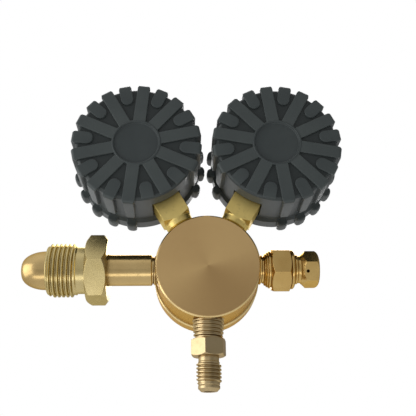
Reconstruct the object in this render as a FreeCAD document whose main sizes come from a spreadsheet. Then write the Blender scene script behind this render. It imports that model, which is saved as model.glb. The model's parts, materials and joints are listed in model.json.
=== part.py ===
import FreeCAD, Part
import os
import re
from math import atan2, cos, pi, sin, sqrt

import Sketcher

# Nitrogen pressure regulator: a turned brass body with two pressure gauges in ribbed rubber boots,
# an inlet nipple with its loose nut, a flare outlet and a relief valve. Millimetres, +Z up.
# The origin is the middle of the body's flat back face. The back faces +Y, the dials face -Y,
# the inlet points to +X, the relief valve to -X and the outlet down.

Vector = FreeCAD.Vector
Rotation = FreeCAD.Rotation
Placement = FreeCAD.Placement

doc = FreeCAD.newDocument("nitrogen_regulator")
sheet = doc.addObject("Spreadsheet::Sheet", "Size")

SIZES = {
    # regulator body: depths are measured from the back face towards the dials
    "body_radius": 24.0,
    "body_depth": 21.5,
    "face_chamfer": 0.7,
    "spigot_radius": 22.6,
    "spigot_length": 6.0,
    "chamber_radius": 17.0,
    "chamber_depth": 5.0,
    "valve_radius": 6.0,
    "valve_floor": 4.0,
    # ports: all axes lie in one plane, this far behind the back face
    "port_depth": 8.5,
    "port_thread_radius": 6.85,
    "port_thread_length": 8.8,
    "inlet_angle": 0.0,
    "cylinder_gauge_angle": 60.0,
    "delivery_gauge_angle": 120.0,
    "relief_angle": 180.0,
    "outlet_angle": 270.0,
    # clearances, and how far a cut or a joined pad runs past the face it meets
    "overshoot": 1.0,
    "screw_fit": 0.05,
    "running_fit": 0.08,
    "seat_gap": 0.05,
    # bonnet and diaphragm
    "bonnet_radius": 25.0,
    "bonnet_skirt": 10.0,
    "bonnet_flats": 34.0,
    "bonnet_barrel": 21.0,
    "bonnet_room_radius": 14.5,
    "bonnet_roof": 5.8,
    "diaphragm_thickness": 0.8,
    "diaphragm_radius": 22.0,
    "plate_radius": 12.5,
    "plate_thickness": 1.6,
    # main spring, button and adjusting screw
    "spring_outer_radius": 8.4,
    "spring_wire": 1.6,
    "spring_turns": 4.0,
    "button_radius": 8.8,
    "button_thickness": 2.0,
    "screw_radius": 4.75,
    "screw_length": 20.0,
    "screw_head_radius": 6.4,
    "screw_head_length": 11.0,
    "handle_radius": 3.0,
    "handle_length": 44.0,
    # seat nozzle and valve poppet
    "nozzle_length": 8.0,
    "nozzle_flats": 9.0,
    "nozzle_head": 2.0,
    "nozzle_bore": 1.6,
    "poppet_radius": 3.9,
    "poppet_length": 4.4,
    "poppet_pin_radius": 0.9,
    "poppet_spring_wire": 0.8,
    "poppet_spring_turns": 4.0,
    # inlet nipple and nut
    "stem_radius": 7.15,
    "stem_standoff": 1.4,
    "stem_length": 40.6,
    "nose_radius": 8.9,
    "nose_straight": 8.0,
    "nose_curve_length": 11.0,
    "nose_flat_radius": 2.6,
    "nose_bore": 1.8,
    "filter_radius": 4.0,
    "filter_length": 12.0,
    "filter_inset": 0.5,
    "nut_flats": 28.6,
    "nut_turn": 33.0,
    "nut_place": 20.2,
    "nut_hex_length": 9.6,
    "nut_neck_radius": 10.75,
    "nut_neck_length": 4.2,
    "nut_thread_radius": 12.25,
    "nut_thread_length": 13.6,
    "nut_thread_chamfer": 1.2,
    "nut_fit": 0.25,
    "hex_chamfer_height": 1.9,
    # outlet fitting
    "outlet_thread_show": 7.9,
    "outlet_hex_length": 7.9,
    "outlet_flats": 14.3,
    "outlet_turn": 42.0,
    "flare_neck_radius": 4.6,
    "flare_neck_length": 2.1,
    "flare_thread_radius": 5.55,
    "flare_thread_length": 10.1,
    "flare_nose_radius": 4.85,
    "flare_nose_length": 1.6,
    "flare_cone_length": 1.3,
    "flare_bore": 2.4,
    # relief valve
    "relief_thread_length": 11.0,
    "relief_cone_length": 1.6,
    "relief_collar_radius": 8.6,
    "relief_collar_length": 1.4,
    "relief_flats": 18.9,
    "relief_turn": 51.0,
    "relief_hex_length": 8.8,
    "relief_hex_chamfer": 1.0,
    "relief_lip_radius": 9.0,
    "relief_lip_length": 1.8,
    "relief_bore": 2.2,
    "relief_room_radius": 5.2,
    "relief_room_length": 11.3,
    "relief_poppet_radius": 4.6,
    "relief_poppet_length": 3.4,
    "relief_guide_radius": 1.6,
    "relief_guide_length": 4.0,
    "relief_spring_wire": 0.9,
    "relief_spring_turns": 5.0,
    "relief_cap_neck_radius": 6.8,
    "relief_cap_neck_length": 3.6,
    "relief_cap_skirt": 4.0,
    "relief_cap_flats": 14.9,
    "relief_cap_turn": 21.0,
    "relief_cap_length": 7.6,
    "relief_cap_dome": 1.4,
    "relief_cap_wall": 4.6,
    "relief_cap_room": 4.2,
    "relief_vent_radius": 0.75,
    "relief_vent_place": 2.1,
    # gauges: depths run from the plane of the ports towards the dial
    "gauge_gap": 0.4,
    "gauge_stem_width": 13.1,
    "gauge_stem_standoff": 0.9,
    "gauge_stem_in_case": 10.0,
    "gauge_stem_cone": 3.5,
    "gauge_stem_cone_radius": 6.5,
    "gauge_stem_bore": 1.5,
    "gauge_stem_end_wall": 5.0,
    "case_radius": 26.0,
    "case_wall": 0.8,
    "case_back": 14.3,
    "case_front": 14.9,
    "lens_thickness": 1.5,
    "dial_play": 0.6,
    "dial_thickness": 0.6,
    "dial_hole": 1.6,
    "frame_plate": 1.0,
    "frame_height": 5.2,
    "frame_half_width": 7.5,
    "frame_bottom": 18.0,
    "frame_top": 4.0,
    "pillar_width": 1.6,
    "pillar_offset": 5.8,
    "pillar_drop": 10.2,
    "gear_module": 0.25,
    "pinion_teeth": 12.0,
    "sector_full_teeth": 96.0,
    "sector_teeth": 13.0,
    "gear_play": 0.12,
    "tooth_root_ratio": 1.25,
    "tooth_tip_ratio": 0.8,
    "tooth_web_ratio": 1.1,
    "tooth_wide_ratio": 1.35,
    "tooth_narrow_ratio": 0.45,
    "gear_thickness": 1.2,
    "gear_gap": 0.5,
    "sector_hub_radius": 2.4,
    "tail_length": 6.0,
    "tail_angle": 300.0,
    "pivot_radius": 0.8,
    "link_pin_radius": 0.6,
    "link_thickness": 0.5,
    "link_width": 2.4,
    "link_inset": 1.8,
    "pointer_sweep_angle": 270.0,
    "pointer_margin": 5.6,
    "pointer_tail": 6.0,
    "pointer_width": 2.6,
    "pointer_tip_width": 0.7,
    "pointer_hub_radius": 2.2,
    "pointer_thickness": 0.5,
    "pointer_gap": 1.2,
    "tube_clearance": 5.0,
    "tube_wall": 2.4,
    "tube_width": 7.0,
    "tube_start_angle": 250.0,
    "tube_end_angle": 340.0,
    # rubber boots
    "boot_rear": 17.0,
    "boot_front": 18.5,
    "boot_wall": 2.3,
    "boot_fit": 0.1,
    "boot_dish_radius": 10.6,
    "boot_dish_depth": 0.8,
    "boot_ring_width": 1.0,
    "boot_recess": 1.3,
    "boot_band_height": 1.8,
    "boot_band_start": 9.0,
    "boot_band_ramp": 1.0,
    "boot_lip_overlap": 2.1,
    "boot_edge": 0.8,
    "lug_height": 2.1,
    "lug_width": 5.4,
    "lug_side_end": 4.5,
    "lug_edge": 0.8,
    "knob_height": 4.65,
    "knob_length": 4.4,
    "long_lugs": 10.0,
    "short_lug_length": 8.3,
    "plain_half_angle": 27.0,
    "stem_gap": 0.8,
}

for row, (alias, size) in enumerate(SIZES.items(), 1):
    sheet.set(f"A{row}", alias)
    sheet.set(f"B{row}", str(size))
    sheet.setAlias(f"B{row}", alias)
doc.recompute()

WORD = re.compile(r"[a-z]\w*")
PARTS = []


def bound(formula):
    """The formula with every size read from the sheet."""
    return WORD.sub(lambda m: "Size." + m.group() if m.group() in SIZES else m.group(), str(formula))


def value(formula):
    """The number that a formula of sizes gives."""
    return float(sheet.evalExpression(bound(formula)))


def bind(target, path, formula):
    target.setExpression(path, bound(formula))


def place(item, base, rotation):
    """Puts an object at a base point written as three formulas, turned by a fixed rotation."""
    item.Placement = Placement(Vector(*[value(part) for part in base]), rotation)
    for letter, part in zip("xyz", base):
        bind(item, f"Placement.Base.{letter}", part)


def core_place(item, depth="0"):
    """Local Z runs from the back face towards the dials."""
    place(item, ("0", f"-({depth})", "0"), Rotation(Vector(1, 0, 0), 90))


# The side ports end at one depth, and the gauges stand so far out that their boots almost touch.
PORT_FLOOR = "(body_radius - port_thread_length)"
BOOT_RADIUS = "(case_radius + boot_wall)"
KNOB_RADIUS = f"({BOOT_RADIUS} + knob_height)"
GAUGE_REACH = f"(({KNOB_RADIUS} + gauge_gap/2)/cos(cylinder_gauge_angle))"


def port_rotation(angle):
    """Local Z runs out of the body along a port, and local Y stays towards the back."""
    return Rotation(Vector(0, 1, 0), 90 - value(angle))


def port_place(item, angle):
    place(item, ("0", "-port_depth", "0"), port_rotation(angle))


def gauge_place(item, angle, x="0", y="0", z="0"):
    """Local X and Y span the dial, with Y away from the body, and local Z faces the reader."""
    turn = port_rotation(angle).multiply(Rotation(Vector(1, 0, 0), 90))
    across = f"({x})*sin({angle}) + ({GAUGE_REACH} + {y})*cos({angle})"
    up = f"({GAUGE_REACH} + {y})*sin({angle}) - ({x})*cos({angle})"
    place(item, (across, f"-port_depth - ({z})", up), turn)


def new_body(label):
    body = doc.addObject("PartDesign::Body", label)
    body.Label = label
    PARTS.append(body)
    return body


def new_sketch(body, name, role, offset="0", turn=0.0, turn_axis=Vector(0, 0, 1)):
    sketch = body.newObject("Sketcher::SketchObject", name)
    plane = next(item for item in body.Origin.OriginFeatures if item.Role == role)
    sketch.AttachmentSupport = [(plane, "")]
    sketch.MapMode = "FlatFace"
    sketch.AttachmentOffset = Placement(Vector(0, 0, value(offset)), Rotation(turn_axis, turn))
    bind(sketch, "AttachmentOffset.Base.z", offset)
    return sketch


def pin(sketch, geometry, end, x, y):
    """Fixes one point of the sketch at two formulas."""
    for kind, formula in (("DistanceX", x), ("DistanceY", y)):
        index = sketch.addConstraint(Sketcher.Constraint(kind, -1, 1, geometry, end, value(formula)))
        bind(sketch, f"Constraints[{index}]", formula)


def loop(sketch, points):
    """A closed outline. A point is (x, y), or (x, y, radius, side) where an arc leads to it:
    side 1 turns to the left on the way, side -1 to the right."""
    first = sketch.GeometryCount
    ends = []
    for index, (x, y, *arc) in enumerate(points):
        start = Vector(value(points[index - 1][0]), value(points[index - 1][1]), 0)
        stop = Vector(value(x), value(y), 0)
        if not arc:
            sketch.addGeometry(Part.LineSegment(start, stop), False)
            ends.append((1, 2))
            continue
        radius, side = value(arc[0]), arc[1]
        middle = (start + stop) * 0.5
        half = (stop - start) * 0.5
        away = sqrt(max(radius**2 - half.Length**2, 0.0)) / half.Length
        centre = middle + Vector(-half.y, half.x, 0) * away * side
        if side > 0:
            a, b = start - centre, stop - centre
            ends.append((1, 2))
        else:
            a, b = stop - centre, start - centre
            ends.append((2, 1))
        circle = Part.Circle(centre, Vector(0, 0, 1), radius)
        sketch.addGeometry(Part.ArcOfCircle(circle, atan2(a.y, a.x), atan2(b.y, b.x)), False)
    count = len(points)
    for index in range(count):
        after = (index + 1) % count
        joint = Sketcher.Constraint(
            "Coincident", first + index, ends[index][1], first + after, ends[after][0]
        )
        sketch.addConstraint(joint)
    for index, (x, y, *arc) in enumerate(points):
        pin(sketch, first + index, ends[index][1], x, y)
        if arc:
            row = sketch.addConstraint(Sketcher.Constraint("Radius", first + index, value(arc[0])))
            bind(sketch, f"Constraints[{row}]", arc[0])


def circle(sketch, radius, x="0", y="0"):
    centre = Vector(value(x), value(y), 0)
    index = sketch.addGeometry(Part.Circle(centre, Vector(0, 0, 1), value(radius)), False)
    row = sketch.addConstraint(Sketcher.Constraint("Radius", index, value(radius)))
    bind(sketch, f"Constraints[{row}]", radius)
    pin(sketch, index, 3, x, y)


def hexagon(sketch, flats, turn="0"):
    corner = f"({flats})/2/cos(30)"
    angles = [f"{60 * side} + {turn}" for side in range(6)]
    loop(sketch, [(f"{corner}*cos({angle})", f"{corner}*sin({angle})") for angle in angles])


def pad(body, sketch, length, middle=False):
    feature = body.newObject("PartDesign::Pad", f"{sketch.Name}_pad")
    feature.Profile = sketch
    feature.Length = value(length)
    feature.Midplane = middle
    bind(feature, "Length", length)
    return feature


def turned(body, points, name="profile", cut=False):
    """Turns an outline of (radius, height) points about the body's Z axis."""
    sketch = new_sketch(body, f"{body.Name}_{name}", "XZ_Plane")
    loop(sketch, points)
    kind = "PartDesign::Groove" if cut else "PartDesign::Revolution"
    feature = body.newObject(kind, f"{body.Name}_{name}_turn")
    feature.Profile = sketch
    feature.ReferenceAxis = (sketch, ["V_Axis"])
    feature.Angle = 360
    return feature


def drill(body, name, radius, length, base, direction):
    """Cuts a round hole from a base point along a direction."""
    tool = body.newObject("PartDesign::SubtractiveCylinder", f"{body.Name}_{name}")
    tool.Radius = value(radius)
    tool.Height = value(length)
    bind(tool, "Radius", radius)
    bind(tool, "Height", length)
    place(tool, base, Rotation(Vector(0, 0, 1), direction))
    return tool


def block_cut(body, name, sizes, corner):
    """Cuts a box, given by three side formulas and its lowest corner."""
    tool = body.newObject("PartDesign::SubtractiveBox", f"{body.Name}_{name}")
    for side, formula in zip(("Length", "Width", "Height"), sizes):
        setattr(tool, side, value(formula))
        bind(tool, side, formula)
    place(tool, corner, Rotation())
    return tool


# A hexagon's turned chamfer starts at this share of the half width across its flats.
CHAMFER_START = 0.97


def hex_corners(body, name, flats, end, height, side):
    """Turns a chamfer of a given height on a hexagon's corners, at its low end (side -1) or high
    end (side 1)."""
    corner = f"({flats})/2/cos(30)"
    inner = f"({flats})/2*{CHAMFER_START}"
    outside = f"({corner} + overshoot)"
    slope = f"({height})*({outside} - {inner})/({corner} - {inner})"
    turned(body, [(inner, end), (outside, end), (outside, f"{end} - {side}*{slope}")], name, True)


def polar(body, features, count):
    pattern = body.newObject("PartDesign::PolarPattern", f"{body.Name}_pattern")
    pattern.Originals = features
    axis = next(item for item in body.Origin.OriginFeatures if item.Role == "Z_Axis")
    pattern.Axis = (axis, [""])
    pattern.Angle = 360
    pattern.Occurrences = int(value(count))
    bind(pattern, "Occurrences", count)
    body.Tip = pattern
    return pattern


def coil(label, outer, wire, turns, length, position, base="0"):
    """A closed-end coil spring along local Z, built from flat facets."""
    stations = 10
    sides = 4
    thick = value(wire) / 2
    radius = value(outer) - thick
    total = round(value(turns) * stations)
    climb = value(length) - 2 * thick
    rings = []
    for step in range(total + 1):
        share = step / total
        angle = 2 * pi * step / stations
        eased = min(max((share * (total + 2 * stations) - stations / 2) / (total + stations), 0), 1)
        height = value(base) + thick + climb * eased
        ring = []
        for side in range(sides):
            tilt = 2 * pi * (side + 0.5) / sides
            reach = radius + thick * cos(tilt)
            ring.append(Vector(reach * cos(angle), reach * sin(angle), height + thick * sin(tilt)))
        rings.append(ring)
    faces = [Part.Face(Part.makePolygon(ring + ring[:1])) for ring in (rings[0], rings[-1])]
    for low, high in zip(rings, rings[1:]):
        for side in range(sides):
            after = (side + 1) % sides
            for corners in ((low[side], low[after], high[after]), (low[side], high[after], high[side])):
                faces.append(Part.Face(Part.makePolygon(list(corners) + [corners[0]])))
    spring = doc.addObject("Part::Feature", label)
    spring.Label = label
    spring.Shape = Part.makeSolid(Part.makeShell(faces))
    position(spring)
    PARTS.append(spring)
    return spring


# Regulator body: a brass disc turned all over, with the valve bore and the pressure chamber in its
# front and five tapped ports round its side.
SPIGOT_END = "body_depth + spigot_length"
CHAMBER_FLOOR = f"{SPIGOT_END} - chamber_depth"
PORTS = {
    "inlet": "inlet_angle",
    "cylinder_gauge": "cylinder_gauge_angle",
    "delivery_gauge": "delivery_gauge_angle",
    "relief": "relief_angle",
    "outlet": "outlet_angle",
}


def make_body():
    body = new_body("regulator_body")
    turned(body, [
        ("0", "0"),
        ("body_radius - face_chamfer", "0"),
        ("body_radius", "face_chamfer"),
        ("body_radius", "body_depth"),
        ("spigot_radius", "body_depth"),
        ("spigot_radius", SPIGOT_END),
        ("chamber_radius", SPIGOT_END),
        ("chamber_radius", CHAMBER_FLOOR),
        ("valve_radius", CHAMBER_FLOOR),
        ("valve_radius", "valve_floor"),
        ("0", "valve_floor"),
    ])
    for name, angle in PORTS.items():
        outward = Vector(cos(value(angle) * pi / 180), sin(value(angle) * pi / 180), 0)
        base = (f"{PORT_FLOOR}*cos({angle})", f"{PORT_FLOOR}*sin({angle})", "port_depth")
        drill(body, f"{name}_port", "port_thread_radius + screw_fit", "body_radius", base, outward)
    core_place(body)


make_body()


# Bonnet: the cap with a round skirt and a hexagon barrel that screws over the body's front, clamps
# the diaphragm's rim and carries the adjusting screw.
BONNET_LOW = "body_depth + seat_gap"
SKIRT_END = f"{BONNET_LOW} + bonnet_skirt"
BONNET_END = f"{SKIRT_END} + bonnet_barrel"
ROOF = f"{BONNET_END} - bonnet_roof"
DIAPHRAGM_TOP = f"{SPIGOT_END} + diaphragm_thickness"


def make_bonnet():
    body = new_body("bonnet")
    barrel = new_sketch(body, "bonnet_hexagon", "XY_Plane", f"{SKIRT_END} - overshoot")
    hexagon(barrel, "bonnet_flats")
    pad(body, barrel, "bonnet_barrel + overshoot")
    turned(body, [
        ("0", BONNET_LOW),
        ("bonnet_radius", BONNET_LOW),
        ("bonnet_radius", SKIRT_END),
        ("0", SKIRT_END),
    ], "skirt")
    turned(body, [
        ("0", f"{BONNET_LOW} - overshoot"),
        ("spigot_radius + screw_fit", f"{BONNET_LOW} - overshoot"),
        ("spigot_radius + screw_fit", f"{DIAPHRAGM_TOP} + seat_gap"),
        ("bonnet_room_radius", f"{DIAPHRAGM_TOP} + seat_gap"),
        ("bonnet_room_radius", ROOF),
        ("screw_radius + running_fit", ROOF),
        ("screw_radius + running_fit", f"{BONNET_END} + overshoot"),
        ("0", f"{BONNET_END} + overshoot"),
    ], "room", True)
    core_place(body)


make_bonnet()


def disc(label, radius, low, high, position):
    """A plain round piece between two heights."""
    body = new_body(label)
    turned(body, [("0", low), (radius, low), (radius, high), ("0", high)])
    position(body)
    return body


# Diaphragm: the rubber disc clamped at its rim, with the plate that carries the spring's load.
PLATE_LOW = f"{DIAPHRAGM_TOP} + seat_gap"
PLATE_HIGH = f"{PLATE_LOW} + plate_thickness"
disc("diaphragm", "diaphragm_radius", SPIGOT_END, DIAPHRAGM_TOP, core_place)
disc("diaphragm_plate", "plate_radius", PLATE_LOW, PLATE_HIGH, core_place)

# Load side: the main spring, its button, the adjusting screw and the cross bar that turns it.
BUTTON_HIGH = f"{ROOF} - seat_gap*2"
BUTTON_LOW = f"{BUTTON_HIGH} - button_thickness"
SCREW_TIP = f"{BUTTON_HIGH} + seat_gap"
SCREW_END = f"{SCREW_TIP} + screw_length"
HEAD_END = f"{SCREW_END} + screw_head_length"
HANDLE_DEPTH = f"{SCREW_END} + screw_head_length/2"


def make_load_side():
    coil(
        "main_spring", "spring_outer_radius", "spring_wire", "spring_turns",
        f"{BUTTON_LOW} - ({PLATE_HIGH}) - 2*seat_gap", core_place, f"{PLATE_HIGH} + seat_gap",
    )
    disc("spring_button", "button_radius", BUTTON_LOW, BUTTON_HIGH, core_place)
    screw = new_body("adjusting_screw")
    turned(screw, [
        ("0", SCREW_TIP),
        ("screw_radius", SCREW_TIP),
        ("screw_radius", SCREW_END),
        ("screw_head_radius", SCREW_END),
        ("screw_head_radius", HEAD_END),
        ("0", HEAD_END),
    ])
    base = ("-screw_head_radius*2", "0", HANDLE_DEPTH)
    drill(screw, "cross_hole", "handle_radius + seat_gap", "screw_head_radius*4", base, Vector(1, 0, 0))
    core_place(screw)
    bar = disc("handle_bar", "handle_radius", "-handle_length/2", "handle_length/2", core_place)
    place(bar, ("0", f"-({HANDLE_DEPTH})", "0"), Rotation(Vector(0, 1, 0), 90))


make_load_side()


# Valve: the nozzle screwed into the body, the poppet that closes against it from behind, and the
# light spring that keeps it shut.
NOZZLE_SEAT = f"{CHAMBER_FLOOR} - nozzle_length"
POPPET_HIGH = f"{NOZZLE_SEAT} - seat_gap"
POPPET_LOW = f"{POPPET_HIGH} - poppet_length"


def make_valve():
    nozzle = new_body("seat_nozzle")
    head = new_sketch(nozzle, "nozzle_hexagon", "XY_Plane", CHAMBER_FLOOR)
    hexagon(head, "nozzle_flats")
    pad(nozzle, head, "nozzle_head")
    turned(nozzle, [
        ("0", NOZZLE_SEAT),
        ("valve_radius - screw_fit", NOZZLE_SEAT),
        ("valve_radius - screw_fit", CHAMBER_FLOOR),
        ("0", CHAMBER_FLOOR),
    ])
    base = ("0", "0", f"{NOZZLE_SEAT} - overshoot")
    through = "nozzle_length + nozzle_head + 2*overshoot"
    drill(nozzle, "bore", "nozzle_bore", through, base, Vector(0, 0, 1))
    core_place(nozzle)
    poppet = new_body("valve_poppet")
    turned(poppet, [
        ("0", POPPET_LOW),
        ("poppet_radius", POPPET_LOW),
        ("poppet_radius", POPPET_HIGH),
        ("poppet_pin_radius", POPPET_HIGH),
        ("poppet_pin_radius", f"{SPIGOT_END} - seat_gap"),
        ("0", f"{SPIGOT_END} - seat_gap"),
    ])
    core_place(poppet)
    coil(
        "poppet_spring", "poppet_radius", "poppet_spring_wire", "poppet_spring_turns",
        f"{POPPET_LOW} - valve_floor - 2*seat_gap", core_place, "valve_floor + seat_gap",
    )


make_valve()


# Inlet: the nipple screwed into the body with its round nose, the sintered filter in its bore and
# the nut that turns freely on it and pulls the nose into the cylinder valve.
STEM_START = "(body_radius + stem_standoff)"
NOSE_SHOULDER = f"({STEM_START} + stem_length)"
NOSE_CURVE_START = f"({NOSE_SHOULDER} + nose_straight)"
NOSE_TIP = f"({NOSE_CURVE_START} + nose_curve_length)"
FILTER_LOW = f"{PORT_FLOOR} + filter_inset"
FILTER_HIGH = f"{FILTER_LOW} + filter_length"
NUT_REAR = f"({STEM_START} + nut_place)"
NUT_HEX_END = f"{NUT_REAR} + nut_hex_length"
NUT_THREAD_START = f"{NUT_HEX_END} + nut_neck_length"
NUT_FRONT = f"{NUT_THREAD_START} + nut_thread_length"
NOSE_STEPS = 4


def nose_curve():
    """Points along the nose, which rounds in to a small flat like a quarter of an ellipse."""
    points = []
    for step in range(NOSE_STEPS):
        angle = f"({90 * step / NOSE_STEPS})"
        along = f"{NOSE_CURVE_START} + nose_curve_length*sin{angle}"
        points.append((f"nose_flat_radius + (nose_radius - nose_flat_radius)*cos{angle}", along))
    return points


def at_inlet(item):
    port_place(item, "inlet_angle")


def make_inlet():
    nipple = new_body("inlet_nipple")
    turned(nipple, [
        ("filter_radius", f"{PORT_FLOOR} + seat_gap"),
        ("port_thread_radius", f"{PORT_FLOOR} + seat_gap"),
        ("port_thread_radius", STEM_START),
        ("stem_radius", STEM_START),
        ("stem_radius", NOSE_SHOULDER),
        ("nose_radius", NOSE_SHOULDER),
        *nose_curve(),
        ("nose_flat_radius", NOSE_TIP),
        ("nose_bore", NOSE_TIP),
        ("nose_bore", FILTER_HIGH),
        ("filter_radius", FILTER_HIGH),
    ])
    at_inlet(nipple)
    filter_end = f"{FILTER_HIGH} - seat_gap"
    disc("inlet_filter", "filter_radius - screw_fit", FILTER_LOW, filter_end, at_inlet)
    nut = new_body("inlet_nut")
    head = new_sketch(nut, "nut_hexagon", "XY_Plane", NUT_REAR)
    hexagon(head, "nut_flats", "nut_turn")
    pad(nut, head, "nut_hex_length")
    turned(nut, [
        ("0", f"{NUT_HEX_END} - overshoot"),
        ("nut_neck_radius", f"{NUT_HEX_END} - overshoot"),
        ("nut_neck_radius", NUT_THREAD_START),
        ("nut_thread_radius", NUT_THREAD_START),
        ("nut_thread_radius", f"{NUT_FRONT} - nut_thread_chamfer"),
        ("nut_thread_radius - nut_thread_chamfer", NUT_FRONT),
        ("0", NUT_FRONT),
    ], "thread")
    turned(nut, [
        ("0", f"{NUT_REAR} - overshoot"),
        ("stem_radius + nut_fit", f"{NUT_REAR} - overshoot"),
        ("stem_radius + nut_fit", f"{NOSE_SHOULDER} - nut_fit"),
        ("nose_radius + nut_fit", f"{NOSE_SHOULDER} - nut_fit"),
        ("nose_radius + nut_fit", f"{NUT_FRONT} + overshoot"),
        ("0", f"{NUT_FRONT} + overshoot"),
    ], "bore", True)
    hex_corners(nut, "rear_corners", "nut_flats", NUT_REAR, "hex_chamfer_height", -1)
    hex_corners(nut, "front_corners", "nut_flats", NUT_HEX_END, "hex_chamfer_height", 1)
    at_inlet(nut)


make_inlet()


# Outlet: a straight fitting with a pipe thread in the body and a flare end for the hose.
OUTLET_HEX = "(body_radius + outlet_thread_show)"
OUTLET_HEX_END = f"{OUTLET_HEX} + outlet_hex_length"
FLARE_THREAD = f"{OUTLET_HEX_END} + flare_neck_length"
FLARE_NOSE = f"{FLARE_THREAD} + flare_thread_length"
FLARE_CONE = f"{FLARE_NOSE} + flare_nose_length"
FLARE_TIP = f"{FLARE_CONE} + flare_cone_length"


def make_outlet():
    fitting = new_body("outlet_fitting")
    head = new_sketch(fitting, "outlet_hexagon", "XY_Plane", OUTLET_HEX)
    hexagon(head, "outlet_flats", "outlet_turn")
    pad(fitting, head, "outlet_hex_length")
    turned(fitting, [
        ("0", f"{PORT_FLOOR} + seat_gap"),
        ("port_thread_radius", f"{PORT_FLOOR} + seat_gap"),
        ("port_thread_radius", OUTLET_HEX),
        ("flare_neck_radius", f"{OUTLET_HEX} + overshoot"),
        ("flare_neck_radius", FLARE_THREAD),
        ("flare_thread_radius", FLARE_THREAD),
        ("flare_thread_radius", FLARE_NOSE),
        ("flare_nose_radius", FLARE_NOSE),
        ("flare_nose_radius", FLARE_CONE),
        ("flare_nose_radius - flare_cone_length", FLARE_TIP),
        ("0", FLARE_TIP),
    ], "shank")
    base = ("0", "0", f"{PORT_FLOOR} - overshoot")
    drill(fitting, "bore", "flare_bore", FLARE_TIP, base, Vector(0, 0, 1))
    port_place(fitting, "outlet_angle")


make_outlet()


# Relief valve: a body screwed into the low-pressure side, a sprung poppet with its rubber face and
# the cap that holds the spring and lets the gas out through its vent.
RELIEF_CONE = f"{PORT_FLOOR} + relief_thread_length"
RELIEF_COLLAR = f"{RELIEF_CONE} + relief_cone_length"
RELIEF_HEX = f"{RELIEF_COLLAR} + relief_collar_length"
RELIEF_HEX_END = f"{RELIEF_HEX} + relief_hex_length"
RELIEF_END = f"{RELIEF_HEX_END} + relief_lip_length"
RELIEF_FLOOR = f"{RELIEF_END} - relief_room_length"
RELIEF_POPPET_LOW = f"{RELIEF_FLOOR} + seat_gap"
RELIEF_POPPET_END = f"{RELIEF_POPPET_LOW} + relief_poppet_length"
CAP_LOW = f"{RELIEF_END} + seat_gap"
CAP_HEX = f"{CAP_LOW} + relief_cap_neck_length"
CAP_END = f"{CAP_HEX} + relief_cap_length"
CAP_ROOF = f"{CAP_END} - relief_cap_wall"


def at_relief(item):
    port_place(item, "relief_angle")


def make_relief_valve():
    shell = new_body("relief_body")
    head = new_sketch(shell, "relief_hexagon", "XY_Plane", RELIEF_HEX)
    hexagon(head, "relief_flats", "relief_turn")
    pad(shell, head, "relief_hex_length")
    turned(shell, [
        ("0", f"{PORT_FLOOR} + seat_gap"),
        ("port_thread_radius", f"{PORT_FLOOR} + seat_gap"),
        ("port_thread_radius", RELIEF_CONE),
        ("relief_collar_radius", RELIEF_COLLAR),
        ("relief_collar_radius", f"{RELIEF_HEX_END} - overshoot"),
        ("relief_lip_radius", f"{RELIEF_HEX_END} - overshoot"),
        ("relief_lip_radius", RELIEF_END),
        ("0", RELIEF_END),
    ], "shank")
    turned(shell, [
        ("0", f"{PORT_FLOOR} - overshoot"),
        ("relief_bore", f"{PORT_FLOOR} - overshoot"),
        ("relief_bore", RELIEF_FLOOR),
        ("relief_room_radius", RELIEF_FLOOR),
        ("relief_room_radius", f"{RELIEF_END} + overshoot"),
        ("0", f"{RELIEF_END} + overshoot"),
    ], "bore", True)
    hex_corners(shell, "corners", "relief_flats", RELIEF_HEX_END, "relief_hex_chamfer", 1)
    at_relief(shell)

    poppet = new_body("relief_poppet")
    turned(poppet, [
        ("0", RELIEF_POPPET_LOW),
        ("relief_poppet_radius", RELIEF_POPPET_LOW),
        ("relief_poppet_radius", RELIEF_POPPET_END),
        ("relief_guide_radius", RELIEF_POPPET_END),
        ("relief_guide_radius", f"{RELIEF_POPPET_END} + relief_guide_length"),
        ("0", f"{RELIEF_POPPET_END} + relief_guide_length"),
    ])
    at_relief(poppet)

    coil(
        "relief_spring", "relief_cap_room - running_fit*3", "relief_spring_wire",
        "relief_spring_turns", f"{CAP_ROOF} - ({RELIEF_POPPET_END}) - 2*seat_gap",
        at_relief, f"{RELIEF_POPPET_END} + seat_gap",
    )

    cap = new_body("relief_cap")
    head = new_sketch(cap, "relief_cap_hexagon", "XY_Plane", CAP_HEX)
    hexagon(head, "relief_cap_flats", "relief_cap_turn")
    pad(cap, head, "relief_cap_length")
    turned(cap, [
        ("0", f"{CAP_LOW} - relief_cap_skirt"),
        ("relief_room_radius - screw_fit", f"{CAP_LOW} - relief_cap_skirt"),
        ("relief_room_radius - screw_fit", CAP_LOW),
        ("relief_cap_neck_radius", CAP_LOW),
        ("relief_cap_neck_radius", f"{CAP_HEX} + overshoot"),
        ("0", f"{CAP_HEX} + overshoot"),
    ], "shank")
    turned(cap, [
        ("0", f"{CAP_LOW} - relief_cap_skirt - overshoot"),
        ("relief_cap_room", f"{CAP_LOW} - relief_cap_skirt - overshoot"),
        ("relief_cap_room", CAP_ROOF),
        ("0", CAP_ROOF),
    ], "room", True)
    vent = ("0", "0", f"{CAP_HEX} + relief_vent_place")
    flat = value("relief_cap_turn + 90") * pi / 180
    outward = Vector(cos(flat), sin(flat), 0)
    drill(cap, "vent", "relief_vent_radius", "relief_cap_flats", vent, outward)
    hex_corners(cap, "corners", "relief_cap_flats", CAP_END, "relief_cap_dome", 1)
    at_relief(cap)


make_relief_valve()


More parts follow.
